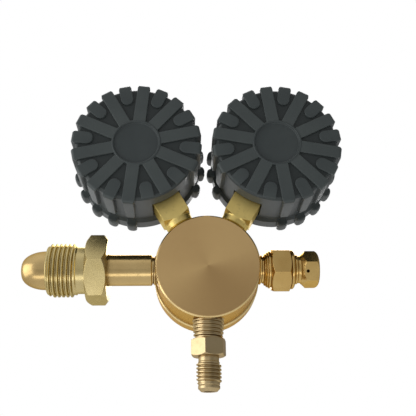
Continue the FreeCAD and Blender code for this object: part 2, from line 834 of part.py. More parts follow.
# Gauges: each has a brass stem screwed into the body, a steel case with its lens, a dial and
# pointer, and the works: a bent tube that straightens under pressure and pulls a toothed sector
# round by a link, which turns the pinion on the pointer's arbor.
STEM_FLAT = "gauge_stem_width/2"
STEM_SHOULDER = "(body_radius + gauge_stem_standoff)"
STEM_END = f"({GAUGE_REACH} - case_radius + gauge_stem_in_case)"
CASE_INSIDE = "(case_radius - case_wall)"
DIAL_RADIUS = f"({CASE_INSIDE} - dial_play)"
TUBE_INSIDE = f"({CASE_INSIDE} - tube_clearance - tube_wall)"
LINK_REACH = f"({TUBE_INSIDE} - link_inset)"
LENS_BACK = "case_front + seat_gap"
LENS_FRONT = f"{LENS_BACK} + lens_thickness"
FRAME_BACK = f"{STEM_FLAT} + seat_gap"
FRAME_FRONT = f"{FRAME_BACK} + frame_height"
FRAME_TOP_BACK = f"{FRAME_FRONT} - frame_plate"
DIAL_BACK = f"{FRAME_FRONT} + seat_gap"
DIAL_FRONT = f"{DIAL_BACK} + dial_thickness"
POINTER_BACK = f"{DIAL_FRONT} + pointer_gap"
SECTOR_BACK = f"{FRAME_BACK} + frame_plate + gear_gap"
SECTOR_FRONT = f"{SECTOR_BACK} + gear_thickness"
PINION_RADIUS = "(gear_module*pinion_teeth/2)"
SECTOR_RADIUS = "(gear_module*sector_full_teeth/2)"
GEAR_DISTANCE = f"({PINION_RADIUS} + {SECTOR_RADIUS})"
SECTOR_SWING = "(pointer_sweep_angle*pinion_teeth/sector_full_teeth)"
TOOTH_STEP = "(360/sector_full_teeth)"
LINK_BACK = f"{SECTOR_FRONT} + seat_gap*2"
LINK_FRONT = f"{LINK_BACK} + link_thickness"


def polygon(body, name, depth, points, length):
    """Pads a straight-sided outline that lies at a given depth."""
    sketch = new_sketch(body, f"{body.Name}_{name}", "XY_Plane", depth)
    loop(sketch, points)
    return pad(body, sketch, length)


def round_pad(body, name, depth, radius, length, x="0", y="0"):
    sketch = new_sketch(body, f"{body.Name}_{name}", "XY_Plane", depth)
    circle(sketch, radius, x, y)
    return pad(body, sketch, length)


def rectangle(low_x, low_y, high_x, high_y):
    return [(low_x, low_y), (high_x, low_y), (high_x, high_y), (low_x, high_y)]


def strip(start, end, width):
    """The four corners of a straight bar of a given width between two points."""
    dx, dy = f"({end[0]} - ({start[0]}))", f"({end[1]} - ({start[1]}))"
    across = f"({width})/2/sqrt({dx}*{dx} + {dy}*{dy})"
    return [
        (f"{x} + {side}*{across}*{dy}", f"{y} - {side}*{across}*{dx}")
        for (x, y), side in ((start, 1), (end, 1), (end, -1), (start, -1))
    ]


def make_stem(name, angle):
    stem = new_body(f"{name}_stem")
    square = rectangle(f"-{STEM_FLAT}", f"-{STEM_FLAT}", STEM_FLAT, STEM_FLAT)
    polygon(stem, "bar", STEM_SHOULDER, square, f"{STEM_END} - {STEM_SHOULDER}")
    turned(stem, [
        ("0", f"{PORT_FLOOR} + seat_gap"),
        ("port_thread_radius", f"{PORT_FLOOR} + seat_gap"),
        ("port_thread_radius", STEM_SHOULDER),
        ("0", STEM_SHOULDER),
    ], "shank")
    outside = f"{STEM_FLAT}*sqrt(2) + overshoot"
    turned(stem, [
        ("gauge_stem_cone_radius", STEM_SHOULDER),
        (outside, STEM_SHOULDER),
        (outside, f"{STEM_SHOULDER} + gauge_stem_cone"),
    ], "cone", True)
    base = ("0", "0", f"{PORT_FLOOR} - overshoot")
    depth = f"{STEM_END} - gauge_stem_end_wall - {PORT_FLOOR} + overshoot"
    drill(stem, "bore", "gauge_stem_bore", depth, base, Vector(0, 0, 1))
    port_place(stem, angle)


def make_case(name, angle):
    def on_gauge(item):
        gauge_place(item, angle)

    case = new_body(f"{name}_case")
    turned(case, [
        ("0", "-case_back"),
        ("case_radius", "-case_back"),
        ("case_radius", "case_front"),
        (CASE_INSIDE, "case_front"),
        (CASE_INSIDE, "-case_back + case_wall"),
        ("0", "-case_back + case_wall"),
    ])
    side = "(gauge_stem_width + 2*running_fit)"
    corner = (f"-{side}/2", "-case_radius - overshoot", f"-{side}/2")
    block_cut(case, "stem_hole", (side, "case_radius/2", side), corner)
    on_gauge(case)
    disc(f"{name}_lens", "case_radius", LENS_BACK, LENS_FRONT, on_gauge)
    dial = disc(f"{name}_dial", DIAL_RADIUS, DIAL_BACK, DIAL_FRONT, on_gauge)
    base = ("0", "0", f"{DIAL_BACK} - overshoot")
    through = "dial_thickness + 2*overshoot"
    drill(dial, "centre_hole", "dial_hole", through, base, Vector(0, 0, 1))


def make_pointer(name, angle):
    """The pointer stands at the dial's zero, half the sweep to the left of straight up. Its arbor
    runs in the frame and carries the pinion."""
    zero = "(90 + pointer_sweep_angle/2)"
    tip = f"{DIAL_RADIUS} - pointer_margin"
    pointer = new_body(f"{name}_pointer")

    def along(distance, aside):
        x = f"({distance})*cos{zero} - ({aside})*sin{zero}"
        y = f"({distance})*sin{zero} + ({aside})*cos{zero}"
        return x, y

    polygon(pointer, "blade", POINTER_BACK, [
        along("-pointer_tail", "-pointer_width/2"),
        along("0", "-pointer_width/2"),
        along(tip, "-pointer_tip_width/2"),
        along(tip, "pointer_tip_width/2"),
        along("0", "pointer_width/2"),
        along("-pointer_tail", "pointer_width/2"),
    ], "pointer_thickness")
    hub = ("pointer_hub_radius", "pointer_thickness*2")
    round_pad(pointer, "hub", f"{POINTER_BACK} - pointer_thickness/2", *hub)
    base = ("0", "0", f"{POINTER_BACK} - overshoot")
    through = "2*pointer_thickness + 2*overshoot"
    drill(pointer, "bore", "pivot_radius + seat_gap/2", through, base, Vector(0, 0, 1))
    gauge_place(pointer, angle)

    arbor = new_body(f"{name}_arbor")
    rod_start = f"{FRAME_BACK} + frame_plate + seat_gap"
    rod = ("pivot_radius", f"{POINTER_BACK} + pointer_thickness - ({rod_start})")
    round_pad(arbor, "rod", rod_start, *rod)
    tooth = tooth_on(arbor, PINION_RADIUS, "pinion_teeth", "90")
    polar(arbor, [tooth], "pinion_teeth")
    root = f"{PINION_RADIUS} - tooth_web_ratio*gear_module"
    round_pad(arbor, "root", SECTOR_BACK, root, "gear_thickness")
    gauge_place(arbor, angle)


def tooth_on(body, radius, count, direction):
    """One gear tooth standing out from the root circle in a given direction."""
    half = f"(180/({count})/2)"
    root = f"({radius} - tooth_root_ratio*gear_module)"
    tip = f"({radius} + tooth_tip_ratio*gear_module)"
    wide = f"({half}*tooth_wide_ratio - gear_play)"
    narrow = f"({half}*tooth_narrow_ratio)"
    return polygon(body, "tooth", SECTOR_BACK, [
        (f"{root}*cos({direction} - {wide})", f"{root}*sin({direction} - {wide})"),
        (f"{tip}*cos({direction} - {narrow})", f"{tip}*sin({direction} - {narrow})"),
        (f"{tip}*cos({direction} + {narrow})", f"{tip}*sin({direction} + {narrow})"),
        (f"{root}*cos({direction} + {wide})", f"{root}*sin({direction} + {wide})"),
    ], "gear_thickness")


TAIL = f"(tail_angle - {SECTOR_SWING}/2)"
TAIL_END = (f"tail_length*cos{TAIL}", f"tail_length*sin{TAIL}")


def make_sector(name, angle):
    """The sector stands at the dial's zero, with its pivot at its own origin."""
    sector = new_body(f"{name}_sector")
    middle = f"(90 - {SECTOR_SWING}/2)"
    half = f"(sector_teeth*{TOOTH_STEP}/2)"
    root = f"({SECTOR_RADIUS} - tooth_web_ratio*gear_module)"
    hub = "sector_hub_radius"
    polygon(sector, "web", SECTOR_BACK, [
        (f"{hub}*cos({middle} - 60)", f"{hub}*sin({middle} - 60)"),
        (f"{root}*cos({middle} - {half})", f"{root}*sin({middle} - {half})"),
        (f"{root}*cos({middle} + {half})", f"{root}*sin({middle} + {half})", root, 1),
        (f"{hub}*cos({middle} + 60)", f"{hub}*sin({middle} + 60)"),
    ], "gear_thickness")
    tooth = tooth_on(sector, SECTOR_RADIUS, "sector_full_teeth", f"({middle} - {half} + {TOOTH_STEP}/2)")
    pattern = polar(sector, [tooth], "sector_teeth")
    spread = f"{TOOTH_STEP}*(sector_teeth - 1)"
    pattern.Angle = value(spread)
    bind(pattern, "Angle", spread)
    round_pad(sector, "boss", SECTOR_BACK, hub, "gear_thickness")
    beyond = [f"({part})*(1 + link_width/2/tail_length)" for part in TAIL_END]
    polygon(sector, "tail", SECTOR_BACK, strip(("0", "0"), beyond, "link_width"), "gear_thickness")
    shaft_start = f"{FRAME_BACK} + frame_plate + seat_gap"
    round_pad(sector, "shaft", shaft_start, "pivot_radius", f"{FRAME_FRONT} - ({shaft_start})")
    pin_length = "gear_thickness + link_thickness + 4*seat_gap"
    round_pad(sector, "pin", SECTOR_BACK, "link_pin_radius", pin_length, *TAIL_END)
    gauge_place(sector, angle, y=f"-{GEAR_DISTANCE}")


LINK_NEAR = (TAIL_END[0], f"({TAIL_END[1]} - {GEAR_DISTANCE})")
LINK_FAR = (f"{LINK_REACH}*cos(tube_end_angle)", f"{LINK_REACH}*sin(tube_end_angle)")


def make_link(name, angle):
    """The link joins the sector's tail to the tip of the bent tube."""
    link = new_body(f"{name}_link")
    dx, dy = (f"({far} - ({near}))" for far, near in zip(LINK_FAR, LINK_NEAR))
    past = f"(link_width/2/sqrt({dx}*{dx} + {dy}*{dy}))"
    start = [f"({near} - {past}*{step})" for near, step in zip(LINK_NEAR, (dx, dy))]
    end = [f"({far} + {past}*{step})" for far, step in zip(LINK_FAR, (dx, dy))]
    polygon(link, "bar", LINK_BACK, strip(start, end, "link_width"), "link_thickness")
    for hole, (x, y) in (("near", LINK_NEAR), ("far", LINK_FAR)):
        base = (x, y, f"{LINK_BACK} - overshoot")
        through = "link_thickness + 2*overshoot"
        drill(link, f"{hole}_hole", "link_pin_radius + running_fit", through, base, Vector(0, 0, 1))
    gauge_place(link, angle)


def make_tube(name, angle):
    """The bent tube starts flat against the stem's side and ends in a block with the link's pin."""
    tube = new_body(f"{name}_bourdon_tube")
    band = new_sketch(tube, f"{name}_band", "XY_Plane")
    inner, outer = TUBE_INSIDE, f"({TUBE_INSIDE} + tube_wall)"
    middle = "((tube_start_angle + tube_end_angle)/2 - 180)"
    side = f"({STEM_FLAT} + seat_gap)"

    def at(radius, direction):
        return f"{radius}*cos({direction})", f"{radius}*sin({direction})"

    def at_stem(radius):
        return f"-{side}", f"-sqrt({radius}*{radius} - {side}*{side})"

    loop(band, [
        (*at(inner, middle), inner, -1),
        (*at(inner, "tube_end_angle"), inner, -1),
        at(outer, "tube_end_angle"),
        (*at(outer, middle), outer, 1),
        (*at_stem(outer), outer, 1),
        at_stem(inner),
    ])
    pad(tube, band, "tube_width", True)
    start = [f"({part})*(1 + tube_wall/{LINK_REACH})" for part in LINK_FAR]
    end = [f"({part})*(1 - link_width/2/{LINK_REACH})" for part in LINK_FAR]
    block = strip(start, end, "link_width")
    polygon(tube, "tip", "-tube_width/2", block, f"{LINK_BACK} - seat_gap + tube_width/2")
    pin_start = f"{LINK_BACK} - 4*seat_gap"
    round_pad(tube, "pin", pin_start, "link_pin_radius", "link_thickness + 6*seat_gap", *LINK_FAR)
    gauge_place(tube, angle)


def make_frame(name, angle):
    frame = new_body(f"{name}_movement_frame")
    outline = rectangle("-frame_half_width", "-frame_bottom", "frame_half_width", "frame_top")
    polygon(frame, "base", FRAME_BACK, outline, "frame_plate")
    for side, place_name in ((-1, "left"), (1, "right")):
        middle = f"{side}*pillar_offset"
        post = rectangle(
            f"{middle} - pillar_width/2", "-pillar_drop - pillar_width",
            f"{middle} + pillar_width/2", "-pillar_drop",
        )
        polygon(frame, f"{place_name}_post", f"{FRAME_BACK} + frame_plate/2", post,
                "frame_height - frame_plate")
    polygon(frame, "top", FRAME_TOP_BACK, outline, "frame_plate")
    for hole, y in (("arbor", "0"), ("sector", f"-{GEAR_DISTANCE}")):
        base = ("0", y, f"{FRAME_TOP_BACK} - overshoot")
        through = "frame_plate + 2*overshoot"
        drill(frame, f"{hole}_hole", "pivot_radius + running_fit", through, base, Vector(0, 0, 1))
    gauge_place(frame, angle)


# Boot: the moulded rubber cup that the gauge is pushed into. Ten long and ten short lugs run out
# over its back and a little way down its side, and a row of knobs stands round its front edge.
# Beside the stem the side is plain and has a hole for it.
BOOT_FLOOR = "-case_back - boot_fit"
RECESS = "-boot_rear + boot_recess"
BAND_RADIUS = f"({BOOT_RADIUS} + boot_band_height)"
LUG_RADIUS = f"({BOOT_RADIUS} + lug_height)"
LUG_ROOT = "(case_radius + boot_wall/2)"
KNOB_START = "boot_front - knob_length"


def make_cup(boot):
    """The cup with its dished back, the raised ring round the dish, the band and the front lip."""
    rim = "boot_dish_radius + boot_ring_width"
    lip = "case_radius - boot_lip_overlap"
    seat = f"{LENS_FRONT} + boot_fit"
    turned(boot, [
        ("0", "-boot_rear + boot_dish_depth"),
        ("boot_dish_radius", "-boot_rear + boot_dish_depth"),
        ("boot_dish_radius", "-boot_rear"),
        (rim, "-boot_rear"),
        (rim, RECESS),
        (f"{BOOT_RADIUS} - boot_edge", RECESS),
        (BOOT_RADIUS, f"{RECESS} + boot_edge"),
        (BOOT_RADIUS, "boot_band_start"),
        (BAND_RADIUS, "boot_band_start + boot_band_ramp"),
        (BAND_RADIUS, "boot_front - boot_edge"),
        (f"{BAND_RADIUS} - boot_edge", "boot_front"),
        (lip, "boot_front"),
        (lip, seat),
        ("case_radius + boot_fit", seat),
        ("case_radius + boot_fit", BOOT_FLOOR),
        ("0", BOOT_FLOOR),
    ], "cup")


def lug_outline(start):
    """A lug that starts at a given distance from the middle, as (reach, depth) points."""
    return [
        (start, "-boot_rear"),
        (f"{LUG_RADIUS} - lug_edge", "-boot_rear"),
        (LUG_RADIUS, "-boot_rear + lug_edge"),
        (LUG_RADIUS, "lug_side_end - lug_edge"),
        (LUG_ROOT, "lug_side_end"),
        (LUG_ROOT, f"{RECESS} + boot_edge/2"),
        (start, f"{RECESS} + boot_edge/2"),
    ]


KNOB_OUTLINE = [
    (LUG_ROOT, KNOB_START),
    (KNOB_RADIUS, f"{KNOB_START} + lug_edge"),
    (KNOB_RADIUS, "boot_front - lug_edge"),
    (f"{KNOB_RADIUS} - lug_edge", "boot_front"),
    (LUG_ROOT, "boot_front"),
]


def stand_out(boot, name, outline, turn):
    """Pads an outline of (reach, depth) points to a lug's width, at a turn round the boot."""
    sketch = new_sketch(boot, f"{boot.Name}_{name}", "YZ_Plane", "0", turn, Vector(0, 1, 0))
    loop(sketch, [(f"-({reach})", depth) for reach, depth in outline])
    return pad(boot, sketch, "lug_width", True)


def make_boot(name, angle):
    boot = new_body(f"{name}_boot")
    make_cup(boot)
    step = 180 / value("long_lugs")
    long_lug = stand_out(boot, "long_lug", lug_outline("boot_dish_radius + boot_ring_width/2"), 0)
    short_lug = stand_out(boot, "short_lug", lug_outline(f"{BOOT_RADIUS} - short_lug_length"), step)
    polar(boot, [long_lug, short_lug], "long_lugs")
    knob = stand_out(boot, "knob", KNOB_OUTLINE, 0)
    polar(boot, [knob], "2*long_lugs")

    plain = new_sketch(boot, f"{name}_plain_side", "YZ_Plane")
    far = f"-({KNOB_RADIUS} + overshoot)"
    loop(plain, [
        (f"-{BOOT_RADIUS}", "-boot_rear - overshoot"),
        (far, "-boot_rear - overshoot"),
        (far, "boot_front + overshoot"),
        (f"-{BAND_RADIUS}", "boot_front + overshoot"),
        (f"-{BAND_RADIUS}", "boot_band_start + boot_band_ramp"),
        (f"-{BOOT_RADIUS}", "boot_band_start"),
    ])
    trim = boot.newObject("PartDesign::Groove", f"{name}_plain_side_cut")
    trim.Profile = plain
    trim.ReferenceAxis = (plain, ["V_Axis"])
    trim.Angle = value("2*plain_half_angle")
    trim.Midplane = True
    bind(trim, "Angle", "2*plain_half_angle")
    side = "(gauge_stem_width + 2*stem_gap)"
    corner = (f"-{side}/2", far, f"-{side}/2")
    block_cut(boot, "stem_hole", (side, f"{KNOB_RADIUS}/2", side), corner)
    gauge_place(boot, angle)


for gauge in ("cylinder_gauge", "delivery_gauge"):
    gauge_angle = PORTS[gauge]
    make_stem(gauge, gauge_angle)
    make_case(gauge, gauge_angle)
    make_pointer(gauge, gauge_angle)
    make_sector(gauge, gauge_angle)
    make_link(gauge, gauge_angle)
    make_tube(gauge, gauge_angle)
    make_frame(gauge, gauge_angle)
    make_boot(gauge, gauge_angle)

doc.recompute()

for item in doc.Objects:
    if "Invalid" in item.State or "Error" in item.State:
        raise RuntimeError(f"{item.Label} failed: {item.State}")

os.makedirs("parts", exist_ok=True)
for part in PARTS:
    if part.Shape.isNull() or not part.Shape.isValid():
        raise RuntimeError(f"{part.Label} has no valid shape")
    part.Shape.exportStep(f"parts/{part.Label}.step")
    print(part.Label, round(part.Shape.Volume, 2))
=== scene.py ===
import json
from math import cos, pi, radians, sin

import bmesh
import bpy
from mathutils import Matrix, Vector


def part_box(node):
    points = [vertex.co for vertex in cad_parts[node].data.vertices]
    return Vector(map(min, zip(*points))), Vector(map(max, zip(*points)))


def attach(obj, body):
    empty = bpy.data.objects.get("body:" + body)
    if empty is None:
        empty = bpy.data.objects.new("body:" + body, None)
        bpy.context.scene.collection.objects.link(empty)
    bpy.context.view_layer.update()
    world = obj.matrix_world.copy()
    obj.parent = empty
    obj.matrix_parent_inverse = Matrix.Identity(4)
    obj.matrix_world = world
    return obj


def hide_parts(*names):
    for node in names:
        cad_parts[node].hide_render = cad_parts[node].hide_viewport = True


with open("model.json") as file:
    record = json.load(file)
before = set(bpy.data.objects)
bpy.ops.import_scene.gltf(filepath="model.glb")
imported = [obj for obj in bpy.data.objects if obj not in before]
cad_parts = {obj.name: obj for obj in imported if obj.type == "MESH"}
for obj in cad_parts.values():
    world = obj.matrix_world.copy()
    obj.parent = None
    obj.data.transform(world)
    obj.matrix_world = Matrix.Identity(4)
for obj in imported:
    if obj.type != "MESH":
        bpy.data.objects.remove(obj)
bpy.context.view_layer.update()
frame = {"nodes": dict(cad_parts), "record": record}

# Regulator body
# A round brass bar, turned on a lathe: flat back face with a fine circular brushed finish and a
# small polished chamfer. Every fitting is screwed into a port in its side wall.

MM = 0.001
mounts = {mount["name"]: mount for mount in frame["record"]["mounts"]}
port_y = mounts["inlet_thread"]["pos_m"][1]


def size_of(node):
    """A CAD node's lowest and highest corners, in millimetres."""
    low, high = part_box(node)
    return low / MM, high / MM


def pointing(direction, base=(0, port_y, 0), side=(0, 1, 0)):
    """Turns a piece made along Z, in millimetres, so that Z runs along the direction from the
    base and its Y runs along the side."""
    along = Vector(direction).normalized()
    across = Vector(side)
    turn = Matrix((across.cross(along), across, along)).transposed().to_4x4()
    return Matrix.Translation(base) @ turn @ Matrix.Scale(MM, 4)


def softened(outline, soft, closed=False):
    """An outline whose corners are cut to small arcs, as a deburred edge has."""
    nearly_straight = radians(165)
    points = []
    count = len(outline)
    for index, corner in enumerate(outline):
        here = Vector(corner)
        before = Vector(outline[index - 1]) - here
        after = Vector(outline[(index + 1) % count]) - here
        kept = not closed and index in (0, count - 1) or min(before.length, after.length) < 1e-6
        if kept or before.angle(after) > nearly_straight:
            points.append(here)
            continue
        reach = min(soft, 0.4 * before.length, 0.4 * after.length)
        start = here + before.normalized() * reach
        end = here + after.normalized() * reach
        middle = (start + end) / 4 + here / 2
        points += [start, middle, end]
    return points


def closed_shape(mesh):
    """Turns a bmesh into a smooth mesh whose faces point outwards."""
    bmesh.ops.remove_doubles(mesh, verts=mesh.verts, dist=1e-5)
    bmesh.ops.recalc_face_normals(mesh, faces=mesh.faces)
    for face in mesh.faces:
        face.smooth = True
    data = bpy.data.meshes.new("shape")
    mesh.to_mesh(data)
    mesh.free()
    return data


def bridge(mesh, low, high):
    """The faces between two rings of points: triangles where one ring is a single point."""
    for index in range(len(low)):
        after = (index + 1) % len(low)
        corners = list(dict.fromkeys((low[index], low[after], high[after], high[index])))
        if len(corners) > 2:
            mesh.faces.new(corners)


def turned_shape(outline, sides=128, soft=0.15, closed=False):
    """A solid turned about Z from an outline of (radius, height) points. The outlines below have
    both ends of a cylinder on one line."""
    mesh = bmesh.new()
    angles = [2 * pi * index / sides for index in range(sides)]
    around = [(cos(angle), sin(angle)) for angle in angles]
    rings = []
    for radius, height in softened(outline, soft, closed):
        if radius < 1e-4:
            rings.append([mesh.verts.new((0, 0, height))] * sides)
        else:
            rings.append([mesh.verts.new((radius * x, radius * y, height)) for x, y in around])
    if closed:
        rings.append(rings[0])
    for low, high in zip(rings, rings[1:]):
        bridge(mesh, low, high)
    return closed_shape(mesh)


def put_in_scene(name, data):
    """A new object in the scene."""
    item = bpy.data.objects.new(name, data)
    bpy.context.scene.collection.objects.link(item)
    return item


def joined(name, shapes, place, material):
    """One piece of one or more closed shapes, with its place in its mesh."""
    mesh = bmesh.new()
    for shape in shapes:
        mesh.from_mesh(shape)
    data = bpy.data.meshes.new(name)
    mesh.to_mesh(data)
    mesh.free()
    data.transform(place)
    data.materials.append(material)
    return put_in_scene(name, data)


def plain_mesh(item):
    """The plain mesh that an object's modifiers or letters make."""
    bpy.context.view_layer.update()
    seen = item.evaluated_get(bpy.context.evaluated_depsgraph_get())
    return bpy.data.meshes.new_from_object(seen)


def fit(name, shapes, place, material, body, slot, *nodes):
    """Joins a piece, evens its shading, and lets it ride on its body in its nodes' place."""
    piece = joined(name, shapes, place, material)
    sharp_edge = radians(42)
    piece.data.set_sharp_from_angle(angle=sharp_edge)
    evened = piece.modifiers.new("even_shading", "WEIGHTED_NORMAL")
    evened.keep_sharp = True
    even_mesh = plain_mesh(piece)
    piece.modifiers.clear()
    piece.data = even_mesh
    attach(piece, body)
    if nodes:
        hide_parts(*nodes)


def dress(material, *nodes):
    """Gives CAD nodes, which keep their shape, a finish."""
    for node in nodes:
        for place in frame["nodes"][node].material_slots:
            place.material = material


class Value:
    """A node's socket that sums, products and quotients can be written with."""

    def __init__(self, nodes, socket):
        self.nodes = nodes
        self.socket = socket

    def sign(operation, reflected=False):
        """The method behind a sign, which adds a Math node."""
        def add_node(self, other):
            values = (other, self) if reflected else (self, other)
            return self.nodes.maths(operation, *values)
        return add_node

    __add__ = __radd__ = sign("ADD")
    __mul__ = __rmul__ = sign("MULTIPLY")
    __sub__, __rsub__ = sign("SUBTRACT"), sign("SUBTRACT", reflected=True)
    __truediv__, __rtruediv__ = sign("DIVIDE"), sign("DIVIDE", reflected=True)


class Nodes:
    """A node tree that is made one call at a time."""

    def __init__(self, tree):
        self.tree = tree

    def node(self, kind, settings, values, output=0):
        """Adds a node. Its settings come first, then the values or links of its sockets."""
        made = self.tree.nodes.new(kind)
        for name, value in settings.items():
            setattr(made, name, value)
        pairs = values.items() if isinstance(values, dict) else enumerate(values)
        for key, value in pairs:
            self.feed(made.inputs[key], value)
        return Value(self, made.outputs[output])

    def feed(self, socket, value):
        """Links a value to a socket, or sets a number, a colour or a vector on it."""
        if isinstance(value, Value):
            self.tree.links.new(value.socket, socket)
        elif socket.type == "RGBA" and len(value) == 3:
            socket.default_value = (*value, 1)
        else:
            socket.default_value = value

    def maths(self, operation, *values, clamped=False):
        settings = {"operation": operation, "use_clamp": clamped}
        return self.node("ShaderNodeMath", settings, values)

    def vector(self, *values):
        return self.node("ShaderNodeCombineXYZ", {}, values)

    def parts_of(self, place):
        """The X, Y and Z of a vector."""
        made = self.tree.nodes.new("ShaderNodeSeparateXYZ")
        self.tree.links.new(place.socket, made.inputs[0])
        return [Value(self, socket) for socket in made.outputs]

    def remap(self, value, low, high, new_low=0.0, new_high=1.0):
        """Takes the low value to the new low one and the high to the new high, and no further."""
        return self.node("ShaderNodeMapRange", {}, [value, low, high, new_low, new_high])


class Finish(Nodes):
    """A material whose nodes are made one call at a time."""

    def __init__(self, name, **settings):
        self.material = bpy.data.materials.new(name)
        self.material.use_nodes = True
        super().__init__(self.material.node_tree)
        self.surface = self.tree.nodes["Principled BSDF"]
        self.set(**settings)
        coordinates = self.tree.nodes.new("ShaderNodeTexCoord")
        self.place = Value(self, coordinates.outputs["Object"])

    def set(self, **values):
        """Feeds the surface shader's own sockets."""
        for socket, value in values.items():
            title = socket.replace("_", " ").title().replace("Ior", "IOR")
            self.feed(self.surface.inputs[title], value)

    def moved(self, base=(0, 0, 0), turn=(0, 0, 0), scale=(1, 1, 1)):
        """The Object coordinates seen from a piece's own base, turned and scaled as it is."""
        sockets = {"Vector": self.place, "Location": base, "Rotation": turn, "Scale": scale}
        return self.node("ShaderNodeMapping", {"vector_type": "TEXTURE"}, sockets)

    def noise(self, place, scale, detail=3.0, rough=0.6):
        sockets = {"Vector": place, "Scale": scale, "Detail": detail, "Roughness": rough}
        return self.node("ShaderNodeTexNoise", {}, sockets)

    def patches(self, scale, low, high, detail=3.0, rough=0.6):
        """Soft patches over the whole piece: 0 under the noise's low value, 1 over its high one."""
        return self.remap(self.noise(self.place, scale, detail, rough), low, high)

    def edges(self, low, high):
        """1 on outer edges and 0 elsewhere. Moulded pieces are paler there for wear; the boots are
        paler there for dust and a painted edge highlight.
        """
        pointiness = self.node("ShaderNodeNewGeometry", {}, [], "Pointiness")
        return self.remap(pointiness, low, high)

    def mix(self, factor, first, second):
        sockets = {0: factor, 6: first, 7: second}
        return self.node("ShaderNodeMix", {"data_type": "RGBA"}, sockets, 2)

    def bump(self, height, strength, distance):
        sockets = {"Strength": strength, "Distance": distance, "Height": height}
        return self.node("ShaderNodeBump", {}, sockets)

    def distance_from_axis(self, place):
        """How far a place is from Z, and where along Z it is."""
        x, y, z = self.parts_of(place)
        return self.maths("SQRT", x * x + y * y), z


def metal(name, colour, deep, roughness, axis=None, base=(0, 0, 0), marks=0.03, stains=0.25):
    """Bare metal: turned rings about its axis, a slow change of tone, and a little tarnish. Seen
    aslant it mirrors in a paler tint of its own colour."""
    slanted_tint = tuple(0.36 * part / max(colour) + 0.26 for part in colour)
    tarnish = tuple(0.62 * part for part in deep)
    finish = Finish(name, metallic=1.0, specular_tint=slanted_tint)
    if axis is None:
        grain = finish.noise(finish.moved(scale=(0.0011, 0.0011, 0.0004)), 1.0)
    else:
        radius, along = finish.distance_from_axis(finish.moved(base, axis))
        pitch = 0.0002
        grain = finish.noise(finish.vector(radius / pitch, along / pitch, 0), 1.0, rough=0.7)
    tone = finish.patches(70, 0.3, 0.7)
    spots = finish.patches(420, 0.55, 0.75, 4.0, 0.65)
    base_colour = finish.mix(tone, colour, deep)
    base_colour = finish.mix(spots * stains, base_colour, tarnish)
    base_colour = finish.mix(grain * 0.22, base_colour, deep)
    finish.set(base_color=base_colour, roughness=roughness + grain * 0.10 + spots * 0.10)
    finish.set(normal=finish.bump(grain, 0.35, marks * MM))
    return finish.material


ABOUT_X = (0, pi / 2, 0)
ABOUT_Y = (pi / 2, 0, 0)
ABOUT_Z = (0, 0, 0)
port_axis = (0, port_y, 0)


def satin_brass_with_rim(rim):
    """The body's brushed brass, polished bright outside the rim's radius. The fans that round
    brushing shows are painted into its colour: two opposite bright fans are a painted reflection,
    and a darker third fan on the lower side, a little towards -X, is painted shade."""
    plain, deep = (0.54, 0.365, 0.165), (0.48, 0.315, 0.138)
    # The first colour here is a painted highlight, the second a painted shade, and the third the
    # polished rim's own colour.
    painted_highlight, painted_shade, bright_rim = (0.66, 0.46, 0.21), (0.37, 0.235, 0.10), (0.68, 0.52, 0.25)
    highlight_fan_x, highlight_fan_z = -0.71, 0.71
    shade_fan_x, shade_fan_z = -0.34, -0.94
    finish = Finish("satin_brass", metallic=1.0, specular_tint=(0.6, 0.4, 0.18))
    radius, along = finish.distance_from_axis(finish.moved(turn=ABOUT_Y))
    brushing = finish.noise(finish.vector(radius / 0.00012, along / 0.0003, 0), 1.0, rough=0.7)
    bands = finish.noise(finish.vector(radius / 0.0014, 0, 0), 1.0, 2.0)
    cloud = finish.patches(60, 0.3, 0.7)
    polished = finish.remap(radius, rim, rim + 0.0002)
    x, y, z = finish.parts_of(finish.place)
    # Painted shade: a darker fan on the lower side, a little towards -X.
    painted_shade_fan = finish.maths("MULTIPLY", x * shade_fan_x + z * shade_fan_z, 1 / radius, clamped=True)
    # Painted reflection: two opposite bright fans, like those round brushing would show.
    painted_highlight_fans = finish.maths("POWER", (x * highlight_fan_x + z * highlight_fan_z) / radius, 2.0)
    face = finish.mix(cloud * 0.5 + bands * 0.3, plain, deep)
    face = finish.mix(painted_highlight_fans * 0.45, face, painted_highlight)
    face = finish.mix(painted_shade_fan * 0.75, face, painted_shade)
    finish.set(base_color=finish.mix(polished, face, bright_rim))
    finish.set(roughness=0.37 + brushing * 0.10 - polished * 0.16)
    finish.set(normal=finish.bump(brushing, 0.60, 0.10 * MM))
    return finish.material


close_fit = 0.05
body_low, body_high = size_of("regulator_body")
body_radius = body_high.x
bonnet_low, bonnet_high = size_of("bonnet")
skirt_radius = bonnet_high.x
skirt_start = -bonnet_high.y
body_chamfer = 0.7
satin_brass = satin_brass_with_rim((body_radius - body_chamfer) * MM)
spigot_radius = 22.6
spigot_end = -body_low.y
chamber_radius = 17.0
chamber_floor = spigot_end - 5.0
valve_bore = 6.0
valve_floor = 4.0
to_front = pointing((0, -1, 0), (0, 0, 0), (0, 0, 1))

body_shape = turned_shape([
    (0, 0),
    (body_radius - body_chamfer, 0),
    (body_radius, body_chamfer), (body_radius, skirt_start - close_fit),
    (spigot_radius, skirt_start - close_fit), (spigot_radius, spigot_end),
    (chamber_radius, spigot_end), (chamber_radius, chamber_floor),
    (valve_bore, chamber_floor), (valve_bore, valve_floor),
    (0, valve_floor),
], sides=192, soft=0.12)
fit("body_turning", [body_shape], to_front, satin_brass, "core", "brass", "regulator_body")

# Seat and valve
# The brass nozzle is screwed into the body, and the poppet with its plastic seat is pressed
# against it from behind by a light spring.

GOLD, GOLD_DEEP = (0.58, 0.44, 0.15), (0.50, 0.36, 0.11)
seat_brass = metal("seat_brass", GOLD, GOLD_DEEP, 0.22, ABOUT_Y, port_axis)
spring_steel = metal("spring_steel", (0.30, 0.30, 0.32), (0.22, 0.22, 0.24), 0.30)


